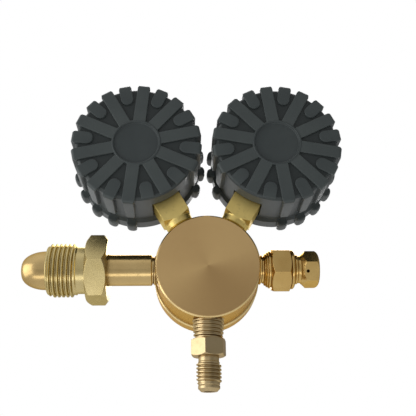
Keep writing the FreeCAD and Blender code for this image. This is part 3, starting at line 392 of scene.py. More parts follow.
def moulded(name, colour, pale, roughness, grain=0.0004, depth=0.02, **settings):
    """A moulded or pressed piece: fine grain, a dusty change of tone, and paler worn edges."""
    finish = Finish(name, **settings)
    fine = finish.noise(finish.place, 1 / grain)
    pale_parts = finish.patches(90, 0.35, 0.65) * 0.35 + finish.edges(0.53, 0.62) * 0.4
    base_colour = finish.mix(pale_parts, colour, pale)
    finish.set(base_color=base_colour, roughness=roughness + fine * 0.16)
    finish.set(normal=finish.bump(fine, 0.5, depth * MM))
    return finish.material


seat_plastic = moulded("seat_plastic", (0.62, 0.58, 0.48), (0.72, 0.69, 0.60), 0.35)
dress(seat_brass, "seat_nozzle")
dress(seat_plastic, "valve_poppet")
dress(spring_steel, "poppet_spring")

# Diaphragm
# A disc of rubber clamped between the body and the bonnet, with the pressed steel plate that
# spreads the main spring's load on it.

diaphragm_rubber = moulded("diaphragm_rubber", (0.030, 0.032, 0.034), (0.075, 0.076, 0.078), 0.62)
pressed_steel = metal("pressed_steel", (0.52, 0.52, 0.53), (0.42, 0.42, 0.44), 0.30, ABOUT_Y)
dress(diaphragm_rubber, "diaphragm")
dress(pressed_steel, "diaphragm_plate")

# Main spring
# A coil of steel wire with ground ends. It stands loose between the diaphragm's plate and the
# pressed steel button that the adjusting screw pushes down.

dress(spring_steel, "main_spring")
dress(pressed_steel, "spring_button")

# Bonnet
# The spring's cover, one brass piece screwed over the body's rim: a turned skirt, a hexagon for
# the spanner, and a roof that holds the adjusting screw's thread.

skirt_end = skirt_start + 10.0
bonnet_end = -bonnet_low.y
bonnet_flats = 34.0
bonnet_hole = 4.85
room_radius = 14.5
room_roof = bonnet_end - 5.8
diaphragm_top = spigot_end + 0.85


def flat_shape(outline, low, high):
    """A straight-sided plate or bar between two heights, from an outline of (x, y) points."""
    mesh = bmesh.new()
    bottom, top = ([mesh.verts.new((x, y, height)) for x, y in outline] for height in (low, high))
    mesh.faces.new(bottom)
    mesh.faces.new(top)
    bridge(mesh, bottom, top)
    return closed_shape(mesh)


def shape_from(helper):
    """The plain mesh that a helper object makes. The helper is taken out of the scene."""
    shape = plain_mesh(helper)
    bpy.data.objects.remove(helper)
    return shape


def combined(shape, tool, operation):
    """One closed mesh cut with another."""
    piece = put_in_scene("cutting", shape)
    cut = piece.modifiers.new("cut", "BOOLEAN")
    cut.operation = operation
    cut.object = put_in_scene("knife", tool)
    cut.solver = "EXACT"
    result = plain_mesh(piece)
    for item in (cut.object, piece):
        bpy.data.objects.remove(item)
    return result


def rounded(shape, width, angle=22):
    """Rounds a mesh's sharp edges."""
    piece = put_in_scene("rounding", shape)
    edge = piece.modifiers.new("edges", "BEVEL")
    edge.width = width
    edge.segments = 2
    edge.limit_method = "ANGLE"
    edge.angle_limit = radians(angle)
    return shape_from(piece)


def milled_bar(sides, flats, outline, turn=0.0, edge=0.18, closed=False):
    """A hexagon or square bar that a lathe has turned its outline on, with deburred edges. Its
    first corner stands at the turn."""
    reach = flats / 2 / cos(pi / sides)
    angles = [turn + index * 2 * pi / sides for index in range(sides)]
    section = [(reach * cos(angle), reach * sin(angle)) for angle in angles]
    heights = [height for radius, height in outline]
    bar = flat_shape(section, min(heights) - 1, max(heights) + 1)
    lathe = turned_shape(outline, sides=96, soft=0, closed=closed)
    return rounded(combined(bar, lathe, "INTERSECT"), edge)


def hexagon(flats, start, end, chamfers, inside=(), turn=0.0):
    """A hexagon whose corners are chamfered at its low and high end. The inside's outline runs
    from the high end to the low one."""
    low, high = chamfers
    past_corners = flats / 2 / cos(pi / 6) + 0.1
    inside_flats = flats / 2 - 0.15
    outside = [(inside_flats if low else past_corners, start), (past_corners, start + low)]
    outside += [(past_corners, end - high), (inside_flats if high else past_corners, end)]
    outside = list(dict.fromkeys(outside))
    if inside:
        return milled_bar(6, flats, outside + list(inside), turn, closed=True)
    return milled_bar(6, flats, [(0, start)] + outside + [(0, end)], turn)


bonnet_skirt = turned_shape([
    (spigot_radius + close_fit, skirt_start),
    (skirt_radius - 0.5, skirt_start),
    (skirt_radius, skirt_start + 0.5), (skirt_radius, skirt_end - 0.8),
    (skirt_radius - 0.8, skirt_end),
    (room_radius, skirt_end), (room_radius, diaphragm_top),
    (spigot_radius + close_fit, diaphragm_top),
], sides=192, closed=True)
bonnet_barrel = hexagon(bonnet_flats, skirt_end - 0.2, bonnet_end, (0, 2.2), [
    (bonnet_hole, bonnet_end), (bonnet_hole, room_roof),
    (room_radius, room_roof), (room_radius, skirt_end - 0.2),
])
fit("bonnet_turning", [bonnet_skirt, bonnet_barrel], to_front, satin_brass,
    "core", "brass", "bonnet")

# Adjusting screw
# A steel bar is pressed across the head of a brass screw, which presses the spring down as it
# is turned in.

screw_low, screw_high = size_of("adjusting_screw")
bar_low, bar_high = size_of("handle_bar")
screw_tip = -screw_high.y
head_end = -screw_low.y
head_start = head_end - 11.0
screw_crest = 4.75
screw_thread_depth = 0.9
screw_pitch = 1.5875
head_radius = 6.4


class Tree(Nodes):
    """A Geometry Nodes tree with named inputs."""

    def __init__(self, name, **inputs):
        super().__init__(bpy.data.node_groups.new(name, "GeometryNodeTree"))
        self.tree.interface.new_socket("shape", in_out="OUTPUT", socket_type="NodeSocketGeometry")
        for word, kind in inputs.items():
            self.tree.interface.new_socket(word, in_out="INPUT", socket_type=f"NodeSocket{kind}")
        sockets = self.tree.nodes.new("NodeGroupInput").outputs
        self.given = {word: Value(self, sockets[word]) for word in inputs}

    def finish(self, geometry):
        """Ends the tree in plain geometry with its material."""
        whole = self.node("GeometryNodeRealizeInstances", {}, [geometry])
        coats = {"Geometry": whole, "Material": self.given["material"]}
        coated = self.node("GeometryNodeSetMaterial", {}, coats)
        self.tree.links.new(coated.socket, self.tree.nodes.new("NodeGroupOutput").inputs[0])
        return self.tree


def made_by(tree, **given):
    """The plain mesh that a tree makes from these values."""
    piece = put_in_scene("making", bpy.data.meshes.new("making"))
    modifier = piece.modifiers.new("made", "NODES")
    modifier.node_group = tree
    for item in tree.interface.items_tree:
        if item.in_out == "INPUT":
            modifier[item.identifier] = given[item.name]
    return shape_from(piece)


def thread_tree():
    """A ridge that winds about Z and runs out at both ends. Its crest may taper."""
    tree = Tree("screw_thread", crest="Float", end_crest="Float", depth="Float", pitch="Float",
                start="Float", length="Float", material="Material")
    given = tree.given
    sink = 0.06
    foot_share, crest_share = 0.92, 0.30
    turns_to_full_height = 1 / 3
    turns = given["length"] / given["pitch"]
    helix = tree.node("GeometryNodeCurveSpiral", {}, {
        "Resolution": 64, "Rotations": turns, "Start Radius": given["crest"] - given["depth"],
        "End Radius": given["end_crest"] - given["depth"], "Height": given["length"]})
    upright = tree.node("GeometryNodeSetCurveNormal", {"mode": "Z_UP"}, {"Curve": helix})
    height = given["depth"] + sink
    section = tree.node("GeometryNodeCurvePrimitiveQuadrilateral", {"mode": "TRAPEZOID"}, {
        "Height": height, "Offset": 0.0, "Bottom Width": given["pitch"] * foot_share,
        "Top Width": given["pitch"] * crest_share})
    outward = tree.node("GeometryNodeTransform", {}, {
        "Geometry": section, "Rotation": (0, 0, pi / 2),
        "Translation": tree.vector(sink - height / 2)})
    along = tree.node("GeometryNodeSplineParameter", {}, [])
    nearer = tree.maths("MINIMUM", along, 1 - along)
    full = tree.maths("MULTIPLY", nearer, turns / turns_to_full_height, clamped=True)
    ridge = tree.node("GeometryNodeCurveToMesh", {}, {
        "Curve": upright, "Profile Curve": outward, "Fill Caps": True,
        "Scale": tree.maths("MAXIMUM", full, 0.03)})
    raised = tree.node("GeometryNodeTransform", {}, {
        "Geometry": ridge, "Translation": tree.vector(0, 0, given["start"])})
    return tree.finish(raised)


cut_thread = thread_tree()


def thread(crest, depth, pitch, start, end, material, end_crest=None):
    """A thread's ridge between two heights. Its root is drawn with the piece."""
    ridge = made_by(cut_thread, crest=crest, end_crest=end_crest or crest, depth=depth, pitch=pitch,
                    start=start + pitch / 2, length=end - start - pitch, material=material)
    mesh = bmesh.new()
    mesh.from_mesh(ridge)
    return closed_shape(mesh)


screw_brass = metal("screw_brass", GOLD, GOLD_DEEP, 0.26, ABOUT_Y)
screw_root = screw_crest - screw_thread_depth
screw_shape = turned_shape([
    (0, screw_tip),
    (screw_root - 0.6, screw_tip),
    (screw_root, screw_tip + 0.6), (screw_root, head_start),
    (head_radius - 0.9, head_start),
    (head_radius, head_start + 0.9), (head_radius, head_end - 0.8),
    (head_radius - 0.8, head_end),
    (0, head_end),
])
screw_ridge = thread(screw_crest, screw_thread_depth, screw_pitch,
                     screw_tip + 0.2, head_start - 0.2, screw_brass)
fit("screw_turning", [screw_shape, screw_ridge], to_front, screw_brass,
    "screw", "brass", "adjusting_screw")

bar_depth = -(bar_low.y + bar_high.y) / 2
bar_radius = (bar_high.z - bar_low.z) / 2
bar_half = bar_high.x
bar_end = 1.2
plated_steel = metal("plated_steel", (0.62, 0.62, 0.63), (0.50, 0.50, 0.52), 0.22, ABOUT_X,
                     (0, -bar_depth * MM, 0))
bar_shape = turned_shape([
    (0, -bar_half),
    (bar_radius - bar_end, -bar_half),
    (bar_radius - 0.35 * bar_end, -bar_half + 0.3 * bar_end),
    (bar_radius, -bar_half + bar_end), (bar_radius, bar_half - bar_end),
    (bar_radius - 0.35 * bar_end, bar_half - 0.3 * bar_end),
    (bar_radius - bar_end, bar_half),
    (0, bar_half),
], sides=64, soft=0.3)
bar_place = pointing((1, 0, 0), (0, -bar_depth * MM, 0))
fit("bar_turning", [bar_shape], bar_place, plated_steel, "screw", "bar_steel", "handle_bar")

# Inlet nipple
# A turned brass tube that the nut draws into the cylinder's valve. Its round nose is the seal,
# and its inner end is screwed into the body, with a sintered bronze filter in its bore.

nipple_brass = metal("nipple_brass", (0.54, 0.395, 0.18), (0.46, 0.325, 0.14), 0.17,
                     ABOUT_X, port_axis)
to_inlet = pointing((1, 0, 0))
fitting_start = 20
pipe_pitch = 1.6
pipe_depth = 0.75
pipe_crest = 6.85
pipe_root = pipe_crest - pipe_depth
stem_radius = 7.15
stem_start = 25.4
nose_tip = size_of("inlet_nipple")[1].x
nose_radius = 8.9
nose_shoulder = 66.0
nose_curve = 74.0
nose_flat = 2.6
nose_bore = 1.8
nose_bore_floor = nose_tip - 9


def pipe_thread(lead, end, material):
    """The thread that screws a fitting into its port, from a short plain lead on."""
    return thread(pipe_crest, pipe_depth, pipe_pitch, fitting_start + lead, end, material)


nose_points = []
nose_steps = 14
for index in range(nose_steps + 1):
    angle = index / nose_steps * pi / 2
    radius = nose_flat + (nose_radius - nose_flat) * cos(angle)
    nose_points.append((radius, nose_curve + (nose_tip - nose_curve) * sin(angle)))

nipple_shape = turned_shape([
    (0, fitting_start),
    (pipe_root, fitting_start), (pipe_root, stem_start),
    (stem_radius - 0.45, stem_start),
    (stem_radius, stem_start + 0.45), (stem_radius, nose_shoulder),
    (nose_radius, nose_shoulder + 0.6),
    *nose_points,
    (nose_bore, nose_tip), (nose_bore, nose_bore_floor),
    (0, nose_bore_floor),
], soft=0.12)
nipple_ridge = pipe_thread(0.4, stem_start + 0.5, nipple_brass)
fit("nipple_turning", [nipple_shape, nipple_ridge], to_inlet, nipple_brass,
    "core", "brass", "inlet_nipple")

filter_bronze = moulded("filter_bronze", (0.34, 0.22, 0.10), (0.50, 0.36, 0.18), 0.55,
                        0.0003, 0.12, metallic=0.9)
dress(filter_bronze, "inlet_filter")

# Inlet nut
# It turns freely on the nipple: a hexagon with both ends chamfered, a plain neck and the long
# outside thread of a nitrogen cylinder's connection.

nut_brass = metal("nut_brass", (0.55, 0.45, 0.225), (0.47, 0.375, 0.165), 0.22,
                  ABOUT_X, port_axis)
nut_rear, nut_front = (corner.x for corner in size_of("inlet_nut"))
nut_flats = 28.6
nut_turn = radians(33)
nut_hex_end = nut_rear + 9.6
nut_neck = 10.75
nut_thread = mounts["inlet_thread"]
nut_crest = nut_thread["dims"]["r_mm"]
nut_pitch = 1.96
nut_depth = 1.05
nut_root = nut_crest - nut_depth
nut_thread_start = nut_thread["pos_m"][0] / MM - nut_thread["dims"]["length_mm"] / 2
nut_hole = 7.4
nut_mouth = 9.15

nut_hexagon = hexagon(nut_flats, nut_rear, nut_hex_end, (1.9, 1.9),
                      [(nut_hole, nut_hex_end), (nut_hole, nut_rear)], nut_turn)
nut_shank = turned_shape([
    (nut_hole, nut_hex_end - 0.3),
    (nut_neck, nut_hex_end - 0.3), (nut_neck, nut_thread_start),
    (nut_root, nut_thread_start + 0.5), (nut_root, nut_front - 0.3),
    (nut_root - 0.3, nut_front),
    (nut_mouth, nut_front), (nut_mouth, nut_front - 6.5),
    (nut_hole, nut_front - 7.5),
], soft=0.12, closed=True)
nut_ridge = thread(nut_crest, nut_depth, nut_pitch, nut_thread_start - 0.4, nut_front + 0.1,
                   nut_brass)
fit("nut_turning", [nut_hexagon, nut_shank, nut_ridge], to_inlet, nut_brass,
    "inlet_nut", "brass", "inlet_nut")

# Outlet fitting
# A brass adapter for the hose: tapered pipe thread into the body, a small hexagon, and a flare
# end whose cone seals on the hose's own flare.

outlet_brass = metal("outlet_brass", (0.49, 0.38, 0.215), (0.42, 0.32, 0.165), 0.24,
                     ABOUT_Z, port_axis)
to_outlet = pointing((0, 0, -1))
outlet_tip = -size_of("outlet_fitting")[0].z
outlet_pipe_depth = 0.85
outlet_pipe_crest, outlet_pipe_end_crest = 7.3, 6.65
outlet_hex_start = body_radius + 7.9
outlet_hex_end = outlet_hex_start + 7.9
outlet_flats = 14.3
outlet_turn = radians(42)
flare_neck = 4.6
flare_sizes = mounts["outlet_thread"]["dims"]
flare_crest = flare_sizes["r_mm"]
flare_start = outlet_hex_end + 2.1
flare_end = flare_start + flare_sizes["length_mm"]
flare_pitch = 1.6
flare_depth = 0.75
flare_root = flare_crest - flare_depth
flare_nose = 4.85
flare_cone = 1.3
flare_bore = 2.4
flare_bore_floor = outlet_tip - 12

outlet_shape = turned_shape([
    (0, fitting_start),
    (6.5, fitting_start),
    (6.4, 26.0),
    (5.8, outlet_hex_start + 0.2),
    (flare_neck, outlet_hex_start + 0.4), (flare_neck, outlet_hex_end),
    (flare_neck, flare_start),
    (flare_root, flare_start + 0.3), (flare_root, flare_end),
    (flare_nose - 0.25, flare_end + 0.2),
    (flare_nose, flare_end + 0.5), (flare_nose, outlet_tip - flare_cone),
    (flare_nose - flare_cone, outlet_tip),
    (flare_bore, outlet_tip), (flare_bore, flare_bore_floor),
    (0, flare_bore_floor),
], sides=96, soft=0.12)
outlet_hexagon = hexagon(outlet_flats, outlet_hex_start, outlet_hex_end, (0.9, 0.9),
                         turn=outlet_turn)
outlet_ridge = thread(outlet_pipe_crest, outlet_pipe_depth, pipe_pitch, fitting_start + 0.6,
                      outlet_hex_start + 0.3, outlet_brass, outlet_pipe_end_crest)
flare_ridge = thread(flare_crest, flare_depth, flare_pitch, flare_start - 0.3, flare_end + 0.3,
                     outlet_brass)
outlet_shapes = [outlet_shape, outlet_hexagon, outlet_ridge, flare_ridge]
fit("outlet_turning", outlet_shapes, to_outlet, outlet_brass, "core", "brass", "outlet_fitting")

# Relief valve
# A brass body screwed into the side of the regulator, with a sprung poppet inside, and a cap
# with a vent hole that holds the spring down.

relief_brass = metal("relief_brass", (0.57, 0.40, 0.15), (0.48, 0.31, 0.105), 0.17,
                     ABOUT_X, port_axis, marks=0.02, stains=0.12)
to_relief = pointing((-1, 0, 0))
relief_end = -size_of("relief_body")[0].x
relief_hex_start = 29.2
relief_hex_end = 38.0
relief_flats = 18.9
relief_turn = radians(51)
relief_room = 5.2
relief_floor = relief_end - 11.3
relief_shape = turned_shape([
    (0, fitting_start),
    (pipe_root, fitting_start), (pipe_root, 25.6),
    (7.2, 26.0),
    (7.5, 26.3),
    (7.2, 26.6),
    (8.1, 27.1), (8.1, 27.4),
    (7.9, 27.6),
    (8.6, 28.0), (8.6, 28.7),
    (8.1, 28.9), (8.1, 29.4),
    (8.2, 29.4), (8.2, relief_hex_end - 0.2),
    (8.4, relief_hex_end + 0.1),
    (9.0, relief_hex_end + 0.4), (9.0, relief_end - 0.6),
    (8.3, relief_end),
    (relief_room, relief_end), (relief_room, relief_floor),
    (0, relief_floor),
], sides=96, soft=0.12)
relief_core = relief_room + 2
relief_hexagon = hexagon(relief_flats, relief_hex_start, relief_hex_end, (1.0, 1.0),
                         [(relief_core, relief_hex_end), (relief_core, relief_hex_start)],
                         relief_turn)
relief_ridge = pipe_thread(0.8, 26.6, relief_brass)
fit("relief_turning", [relief_shape, relief_hexagon, relief_ridge], to_relief, relief_brass,
    "core", "brass", "relief_body")

cap_end = -size_of("relief_cap")[0].x
cap_hex_start = relief_end + 3.65
cap_flats = 14.9
cap_turn = radians(21)
cap_room = 4.2
cap_roof = cap_end - 4.6
cap_neck_radius = 6.3
cap_bead_radius = 6.8
cap_reach = 8.7
cap_dome_height = 2.2
cap_dome_width = 3.6
cap_dome_turn = radians(60)
cap_dome_steps = 8
vent_place = cap_hex_start + 2.1
vent_radius = 0.75


def tube_outline(inner, outer, start, end):
    """The outline of a tube, or of a rod where the inner radius is 0."""
    return [(inner, start), (outer, start), (outer, end), (inner, end)]


cap_neck = turned_shape([
    (cap_room, relief_end - 3.9),
    (relief_room - close_fit, relief_end - 3.9), (relief_room - close_fit, relief_end + close_fit),
    (cap_neck_radius, relief_end + close_fit),
    (cap_bead_radius, relief_end + 0.6), (cap_bead_radius, relief_end + 1.3),
    (cap_neck_radius, relief_end + 1.8), (cap_neck_radius, cap_hex_start - 0.8),
    (7.2, cap_hex_start + 0.2),
    (cap_room, cap_hex_start + 0.2),
], sides=96, soft=0.12, closed=True)
cap_outline = [
    (cap_room, cap_hex_start),
    (cap_flats / 2 - 0.5, cap_hex_start),
    (cap_reach, cap_hex_start + 1.8),
]
for index in range(cap_dome_steps + 1):
    angle = index / cap_dome_steps * cap_dome_turn
    cap_outline.append((cap_reach - cap_dome_width * (1 - cos(angle)),
                        cap_end - cap_dome_height * (1 - sin(angle) / sin(cap_dome_turn))))
cap_outline += [(0, cap_end), (0, cap_roof), (cap_room, cap_roof)]
cap_hexagon = milled_bar(6, cap_flats, cap_outline, cap_turn, closed=True)
vent = turned_shape(tube_outline(0, vent_radius, 0, cap_flats), sides=32, soft=0)
vent_tilt = Matrix.Rotation(cap_turn, 4, "Z") @ Matrix.Rotation(-pi / 2, 4, "X")
vent.transform(Matrix.Translation((0, 0, vent_place)) @ vent_tilt)
cap_hexagon = combined(cap_hexagon, vent, "DIFFERENCE")
fit("cap_turning", [cap_neck, cap_hexagon], to_relief, relief_brass,
    "core", "brass", "relief_cap")

dress(relief_brass, "relief_poppet")
dress(spring_steel, "relief_spring")

# Gauge stems
# Square brass bars, turned round at the lower end and screwed into the body. Each carries its
# gauge, and the gas runs up its bore into the bent tube.

GAUGES = {"cylinder_gauge": 60, "delivery_gauge": 120}
stem_width = 13.4
stem_corner = 9.4
stem_shoulder = body_radius + 0.9
gauge_reach = 66.3
stem_end = gauge_reach - 16.0


def along_stem(gauge):
    """The direction of a gauge's stem, seen from the body's axis."""
    angle = radians(GAUGES[gauge])
    return Vector((cos(angle), 0, sin(angle)))


for gauge in GAUGES:
    lean = (0, pi / 2 - radians(GAUGES[gauge]), 0)
    bar_brass = metal(f"{gauge}_bar_brass", (0.74, 0.58, 0.215), (0.63, 0.48, 0.16), 0.36,
                      lean, port_axis, stains=0.6)
    stem_bar = milled_bar(4, stem_width, [
        (0, stem_shoulder - 0.4),
        (6.1, stem_shoulder - 0.4),
        (6.6, stem_shoulder + 0.1),
        (6.65, stem_shoulder + 2.3),
        (6.95, stem_shoulder + 2.9),
        (stem_corner, stem_shoulder + 4.1), (stem_corner, stem_end),
        (0, stem_end),
    ], radians(45), 0.3)
    stem_shank = turned_shape(tube_outline(0, pipe_root, fitting_start, stem_shoulder), sides=96)
    stem_ridge = pipe_thread(0.4, stem_shoulder + 0.3, bar_brass)
    fit(f"{gauge}_square_bar", [stem_bar, stem_shank, stem_ridge], pointing(along_stem(gauge)),
        bar_brass, "core", "brass", f"{gauge}_stem")

# Gauge cases
# A pressed steel cup, enamelled black, behind a clear plastic window that drops into the boot's
# lip.

case_enamel = moulded("case_enamel", (0.018, 0.019, 0.020), (0.060, 0.062, 0.064), 0.28,
                      0.0009, 0.01)
case_radius = 26.0


def middle_of(gauge):
    """The middle of a gauge's case, in metres."""
    return along_stem(gauge) * gauge_reach * MM + Vector(port_axis)


def to_dial(gauge):
    """Puts a piece in a gauge: X to the reader's right, Y away from the stem, Z to the reader."""
    return pointing((0, -1, 0), middle_of(gauge), along_stem(gauge))


def clear_plastic():
    """A clear window that is seen through, and mirrors the room where it is seen aslant."""
    least_seen, seen_aslant, seen_smears = 0.02, 0.45, 0.02
    finish = Finish("clear_plastic", base_color=(0.45, 0.48, 0.48), roughness=0.06)
    slant = finish.node("ShaderNodeLayerWeight", {}, {"Blend": 0.35}, "Fresnel")
    smears = finish.noise(finish.place, 240)
    finish.set(alpha=least_seen + slant * seen_aslant + smears * seen_smears)
    finish.set(normal=finish.bump(smears, 0.05, 0.02 * MM))
    return finish.material


window_plastic = clear_plastic()
window_back = 14.95
window_front = 16.45
for gauge in GAUGES:
    dress(case_enamel, f"{gauge}_case")
    window = turned_shape([
        (0, window_back),
        (case_radius - 0.3, window_back),
        (case_radius, window_back + 0.3), (case_radius, window_front - 0.7),
        (case_radius - 0.6, window_front - 0.3),
        (case_radius - 4.0, window_front - 0.1),
        (8, window_front),
        (0, window_front),
    ], sides=160)
    fit(f"{gauge}_window", [window], to_dial(gauge), window_plastic,
        "core", "lens_plastic", f"{gauge}_lens")

# Gauge works
# The bent tube, its link, the toothed sector and the pinion on the pointer's arbor, between two
# brass plates on pillars.

works_brass = metal("works_brass", (0.52, 0.38, 0.13), (0.44, 0.30, 0.09), 0.26)
works_steel = metal("works_steel", (0.50, 0.50, 0.51), (0.40, 0.40, 0.42), 0.24)
tube_bronze = metal("tube_bronze", (0.46, 0.27, 0.12), (0.38, 0.21, 0.08), 0.30)
for gauge in GAUGES:
    dress(works_brass, f"{gauge}_movement_frame", f"{gauge}_sector")
    dress(works_steel, f"{gauge}_arbor", f"{gauge}_link")
    dress(tube_bronze, f"{gauge}_bourdon_tube")

# Dials
# Enamelled plates, printed in black with a scale over three quarters of a turn, its numbers and
# the unit.

SCALES = {
    "cylinder_gauge": (0, 1000, 2000, 3000, 4000),
    "delivery_gauge": (0, 200, 400, 600, 800),
}
scale_start = 225.0
scale_sweep = 270.0
dial_radius = 24.6
dial_back = 11.85
dial_front = 12.45
dial_hole = 1.6
print_height = 0.03
letter_swell = 0.09
tick_ring = 23.4
TICKS = ((3.8, 0.75, 5), (2.8, 0.50, 9), (1.8, 0.30, 41))
number_size = 3.9
number_reach_x, number_reach_y = 15.8, 16.2
unit_size = 3.0
unit_place = (0, -10.5)


def printed(words, size, middle):
    """Words as thin flat letters on the dial."""
    curve = bpy.data.curves.new("words", "FONT")
    curve.body = words
    curve.size = size
    curve.align_x = "CENTER"
    curve.align_y = "CENTER"
    curve.extrude = print_height / 2
    curve.offset = letter_swell
    curve.resolution_u = 3
    shape = shape_from(put_in_scene("words", curve))
    shape.transform(Matrix.Translation((*middle, dial_front + print_height / 2)))
    return shape


def bar_shape_between(low, high):
    """A plain bar between two corners."""
    outline = [(low[0], low[1]), (high[0], low[1]), (high[0], high[1]), (low[0], high[1])]
    return flat_shape(outline, low[2], high[2])


def round_tree():
    """Copies of one piece turned about Z. None stands nearer to -Y than the gap's half angle."""
    just_over = 0.001
    tree = Tree("round_pattern", piece="Object", count="Int", first="Float", step="Float",
                gap="Float", material="Material")
    given = tree.given
    points = tree.node("GeometryNodePoints", {}, {"Count": given["count"]})
    index = tree.node("GeometryNodeInputIndex", {}, [])
    angle = given["first"] + index * given["step"]
    low_side = 0 - tree.maths("SINE", angle)
    limit = tree.maths("COSINE", given["gap"]) + just_over
    piece = tree.node("GeometryNodeObjectInfo", {}, {"Object": given["piece"]}, "Geometry")
    copies = tree.node("GeometryNodeInstanceOnPoints", {}, {
        "Points": points, "Selection": tree.maths("LESS_THAN", low_side, limit),
        "Instance": piece, "Rotation": tree.vector(0, 0, angle)})
    return tree.finish(copies)


stand_round = round_tree()


def round_pattern(shape, material, count, first, step, gap=0.0):
    """A shape made at angle zero, on +X, repeated round Z at angles in degrees."""
    pattern = put_in_scene("pattern", shape)
    result = made_by(stand_round, piece=pattern, count=count, first=radians(first),
                     step=radians(step), gap=radians(gap), material=material)
    bpy.data.objects.remove(pattern)
    return result


def ticks(length, width, count, material):
    """Marks from the start of the scale to its end."""
    mark = bar_shape_between((tick_ring - length, -width / 2, dial_front),
                             (tick_ring, width / 2, dial_front + print_height))
    return round_pattern(mark, material, count, scale_start, -scale_sweep / (count - 1))


dial_enamel = moulded("dial_enamel", (0.78, 0.78, 0.75), (0.84, 0.84, 0.82), 0.30, 0.0012, 0.004)
print_ink = moulded("print_ink", (0.012, 0.012, 0.013), (0.030, 0.030, 0.032), 0.42, 0.0005, 0.004)
for gauge, numbers in SCALES.items():
    plate_outline = tube_outline(dial_hole, dial_radius, dial_back, dial_front)
    plate = turned_shape(plate_outline, sides=160, soft=0.08, closed=True)
    fit(f"{gauge}_dial_plate", [plate], to_dial(gauge), dial_enamel,
        "core", "dial_white", f"{gauge}_dial")
    marks = [ticks(length, width, count, print_ink) for length, width, count in TICKS]
    marks.append(printed("psi", unit_size, unit_place))
    for index, number in enumerate(numbers):
        angle = radians(scale_start - scale_sweep * index / (len(numbers) - 1))
        place = (number_reach_x * cos(angle), number_reach_y * sin(angle))
        marks.append(printed(str(number), number_size, place))
    fit(f"{gauge}_dial_print", marks, to_dial(gauge), print_ink, "core", "pointer_black")

# Pointers
# A thin blade of sheet metal, enamelled black, on a turned hub that is pressed on the arbor. It
# stands at the scale's start at rest.

pointer_back = 13.65
pointer_front = pointer_back + 0.5
pointer_tip = 19.0
pointer_tail = 6.0
POINTER_SIDE = [(-pointer_tail, 1.3), (-2, 1.15), (0, 1.3), (pointer_tip - 1.2, 0.36),
                (pointer_tip, 0.1)]
pointer_black = moulded("pointer_black", (0.015, 0.015, 0.016), (0.05, 0.05, 0.052), 0.36,
                        0.0006, 0.006)

for gauge in GAUGES:
    blade_outline = [(x, -y) for x, y in POINTER_SIDE] + POINTER_SIDE[::-1]
    blade = rounded(flat_shape(blade_outline, pointer_back, pointer_front), 0.07)
    hub = turned_shape([
        (0, pointer_back - 0.25),
        (2.2, pointer_back - 0.25), (2.2, pointer_front),
        (1.7, pointer_front + 0.24),
        (0, pointer_front + 0.24),
    ], sides=48)
    at_zero = to_dial(gauge) @ Matrix.Rotation(radians(scale_start), 4, "Z")
    fit(f"{gauge}_needle", [blade, hub], at_zero, pointer_black,
        f"{gauge}_pointer", "pointer_black", f"{gauge}_pointer")

# Boots
# Moulded rubber cups, pushed over the gauges. Ten long and ten short lugs run out over the back
# and a little way down the side, a row of knobs stands round the front, and the side by the stem
# is plain.

boot_back = -17.0
boot_floor = -14.4
boot_front = 18.5
boot_radius = 28.8
dish_radius = 10.6
recess = boot_back + 1.05
side_radius = boot_radius - 0.9
band_start = 9.0
band_radius = 30.4
lip_radius = 23.9
lip_seat = 16.55
cup_inside = 26.1
lug_radius = 30.7
lug_half = 3.1
lug_corner = 1.6
lug_side_end = 4.5
lug_step = 36.0
long_start = dish_radius + 0.6
short_start = lug_radius - 10.4
knob_radius = 32.9
knob_start = 9.2
knob_end = 17.4
knob_half = 2.6
plain_half = 27.0
BOOT_TWIST = {"cylinder_gauge": 0.0, "delivery_gauge": -2.0}
hole_half = 7.35


def boot_rubber(gauge):
    """Charcoal rubber: fine grain, dusty paler patches, paler edges for dust and a painted edge
    highlight, painted shade darkening the hollows between the lugs, and the mould's own turning
    marks in the dish."""
    # The second colour is dust and a painted edge highlight; the third is the painted shade in the
    # hollows.
    charcoal, dust_and_edge_highlight, painted_shade = (0.035, 0.043, 0.044), (0.068, 0.080, 0.078), (0.014, 0.018, 0.018)
    finish = Finish(f"{gauge}_boot_rubber", specular_ior_level=0.26, sheen_weight=0.05)
    radius, along = finish.distance_from_axis(finish.moved(middle_of(gauge), ABOUT_Y))
    fine = finish.noise(finish.place, 2600)
    rings = finish.noise(finish.vector(radius / 0.0005, 0, 0), 1.0, 2.0)
    dish = finish.remap(radius, (dish_radius - 0.2) * MM, dish_radius * MM, 1.0, 0.0)
    side = finish.remap(radius, (boot_radius - 1.5) * MM, (boot_radius - 0.5) * MM)
    # Painted shade: the hollows between the lugs, deep in the back's recess, are darkened.
    deep = finish.remap(along, (boot_back + 0.1) * MM, (recess - 0.1) * MM)
    painted_hollow_shade = deep * (1 - dish) * (1 - side)
    # The paler edges are partly dust and partly a painted edge highlight.
    pale_parts = finish.patches(75, 0.35, 0.68) * 0.20 + finish.edges(0.52, 0.60) * 0.50
    base_colour = finish.mix(pale_parts, charcoal, dust_and_edge_highlight)
    base_colour = finish.mix(painted_hollow_shade * 0.70, base_colour, painted_shade)
    grain = fine + rings * dish * 0.7
    finish.set(base_color=base_colour, roughness=0.36 + fine * 0.16)
    finish.set(normal=finish.bump(grain, 0.4, 0.025 * MM))
    return finish.material


LUG_PROFILE = ((1, 0), (0.985, 0.5), (0.96, 0.8), (0.92, 0.95), (0.86, 1))
LUG_SIDE = ((-12, 1, 0.84), (-8, 1, 0.86), (-2, 1, 0.78), (2.6, 1, 0.66), (3.9, 0.55, 0.62),
            (lug_side_end, 0.1, 0.58))


def lug_section(crown, foot, half):
    """The points across a lug, from one foot over its crown to the other. The profile gives the
    share of its half width that is left at each share of its height."""
    crown, foot = Vector(crown), Vector(foot)
    points = []
    for width, rise in LUG_PROFILE:
        reach, depth = foot + (crown - foot) * rise
        points.append((reach, half * width, depth))
    return [(x, -y, z) for x, y, z in points] + points[::-1]


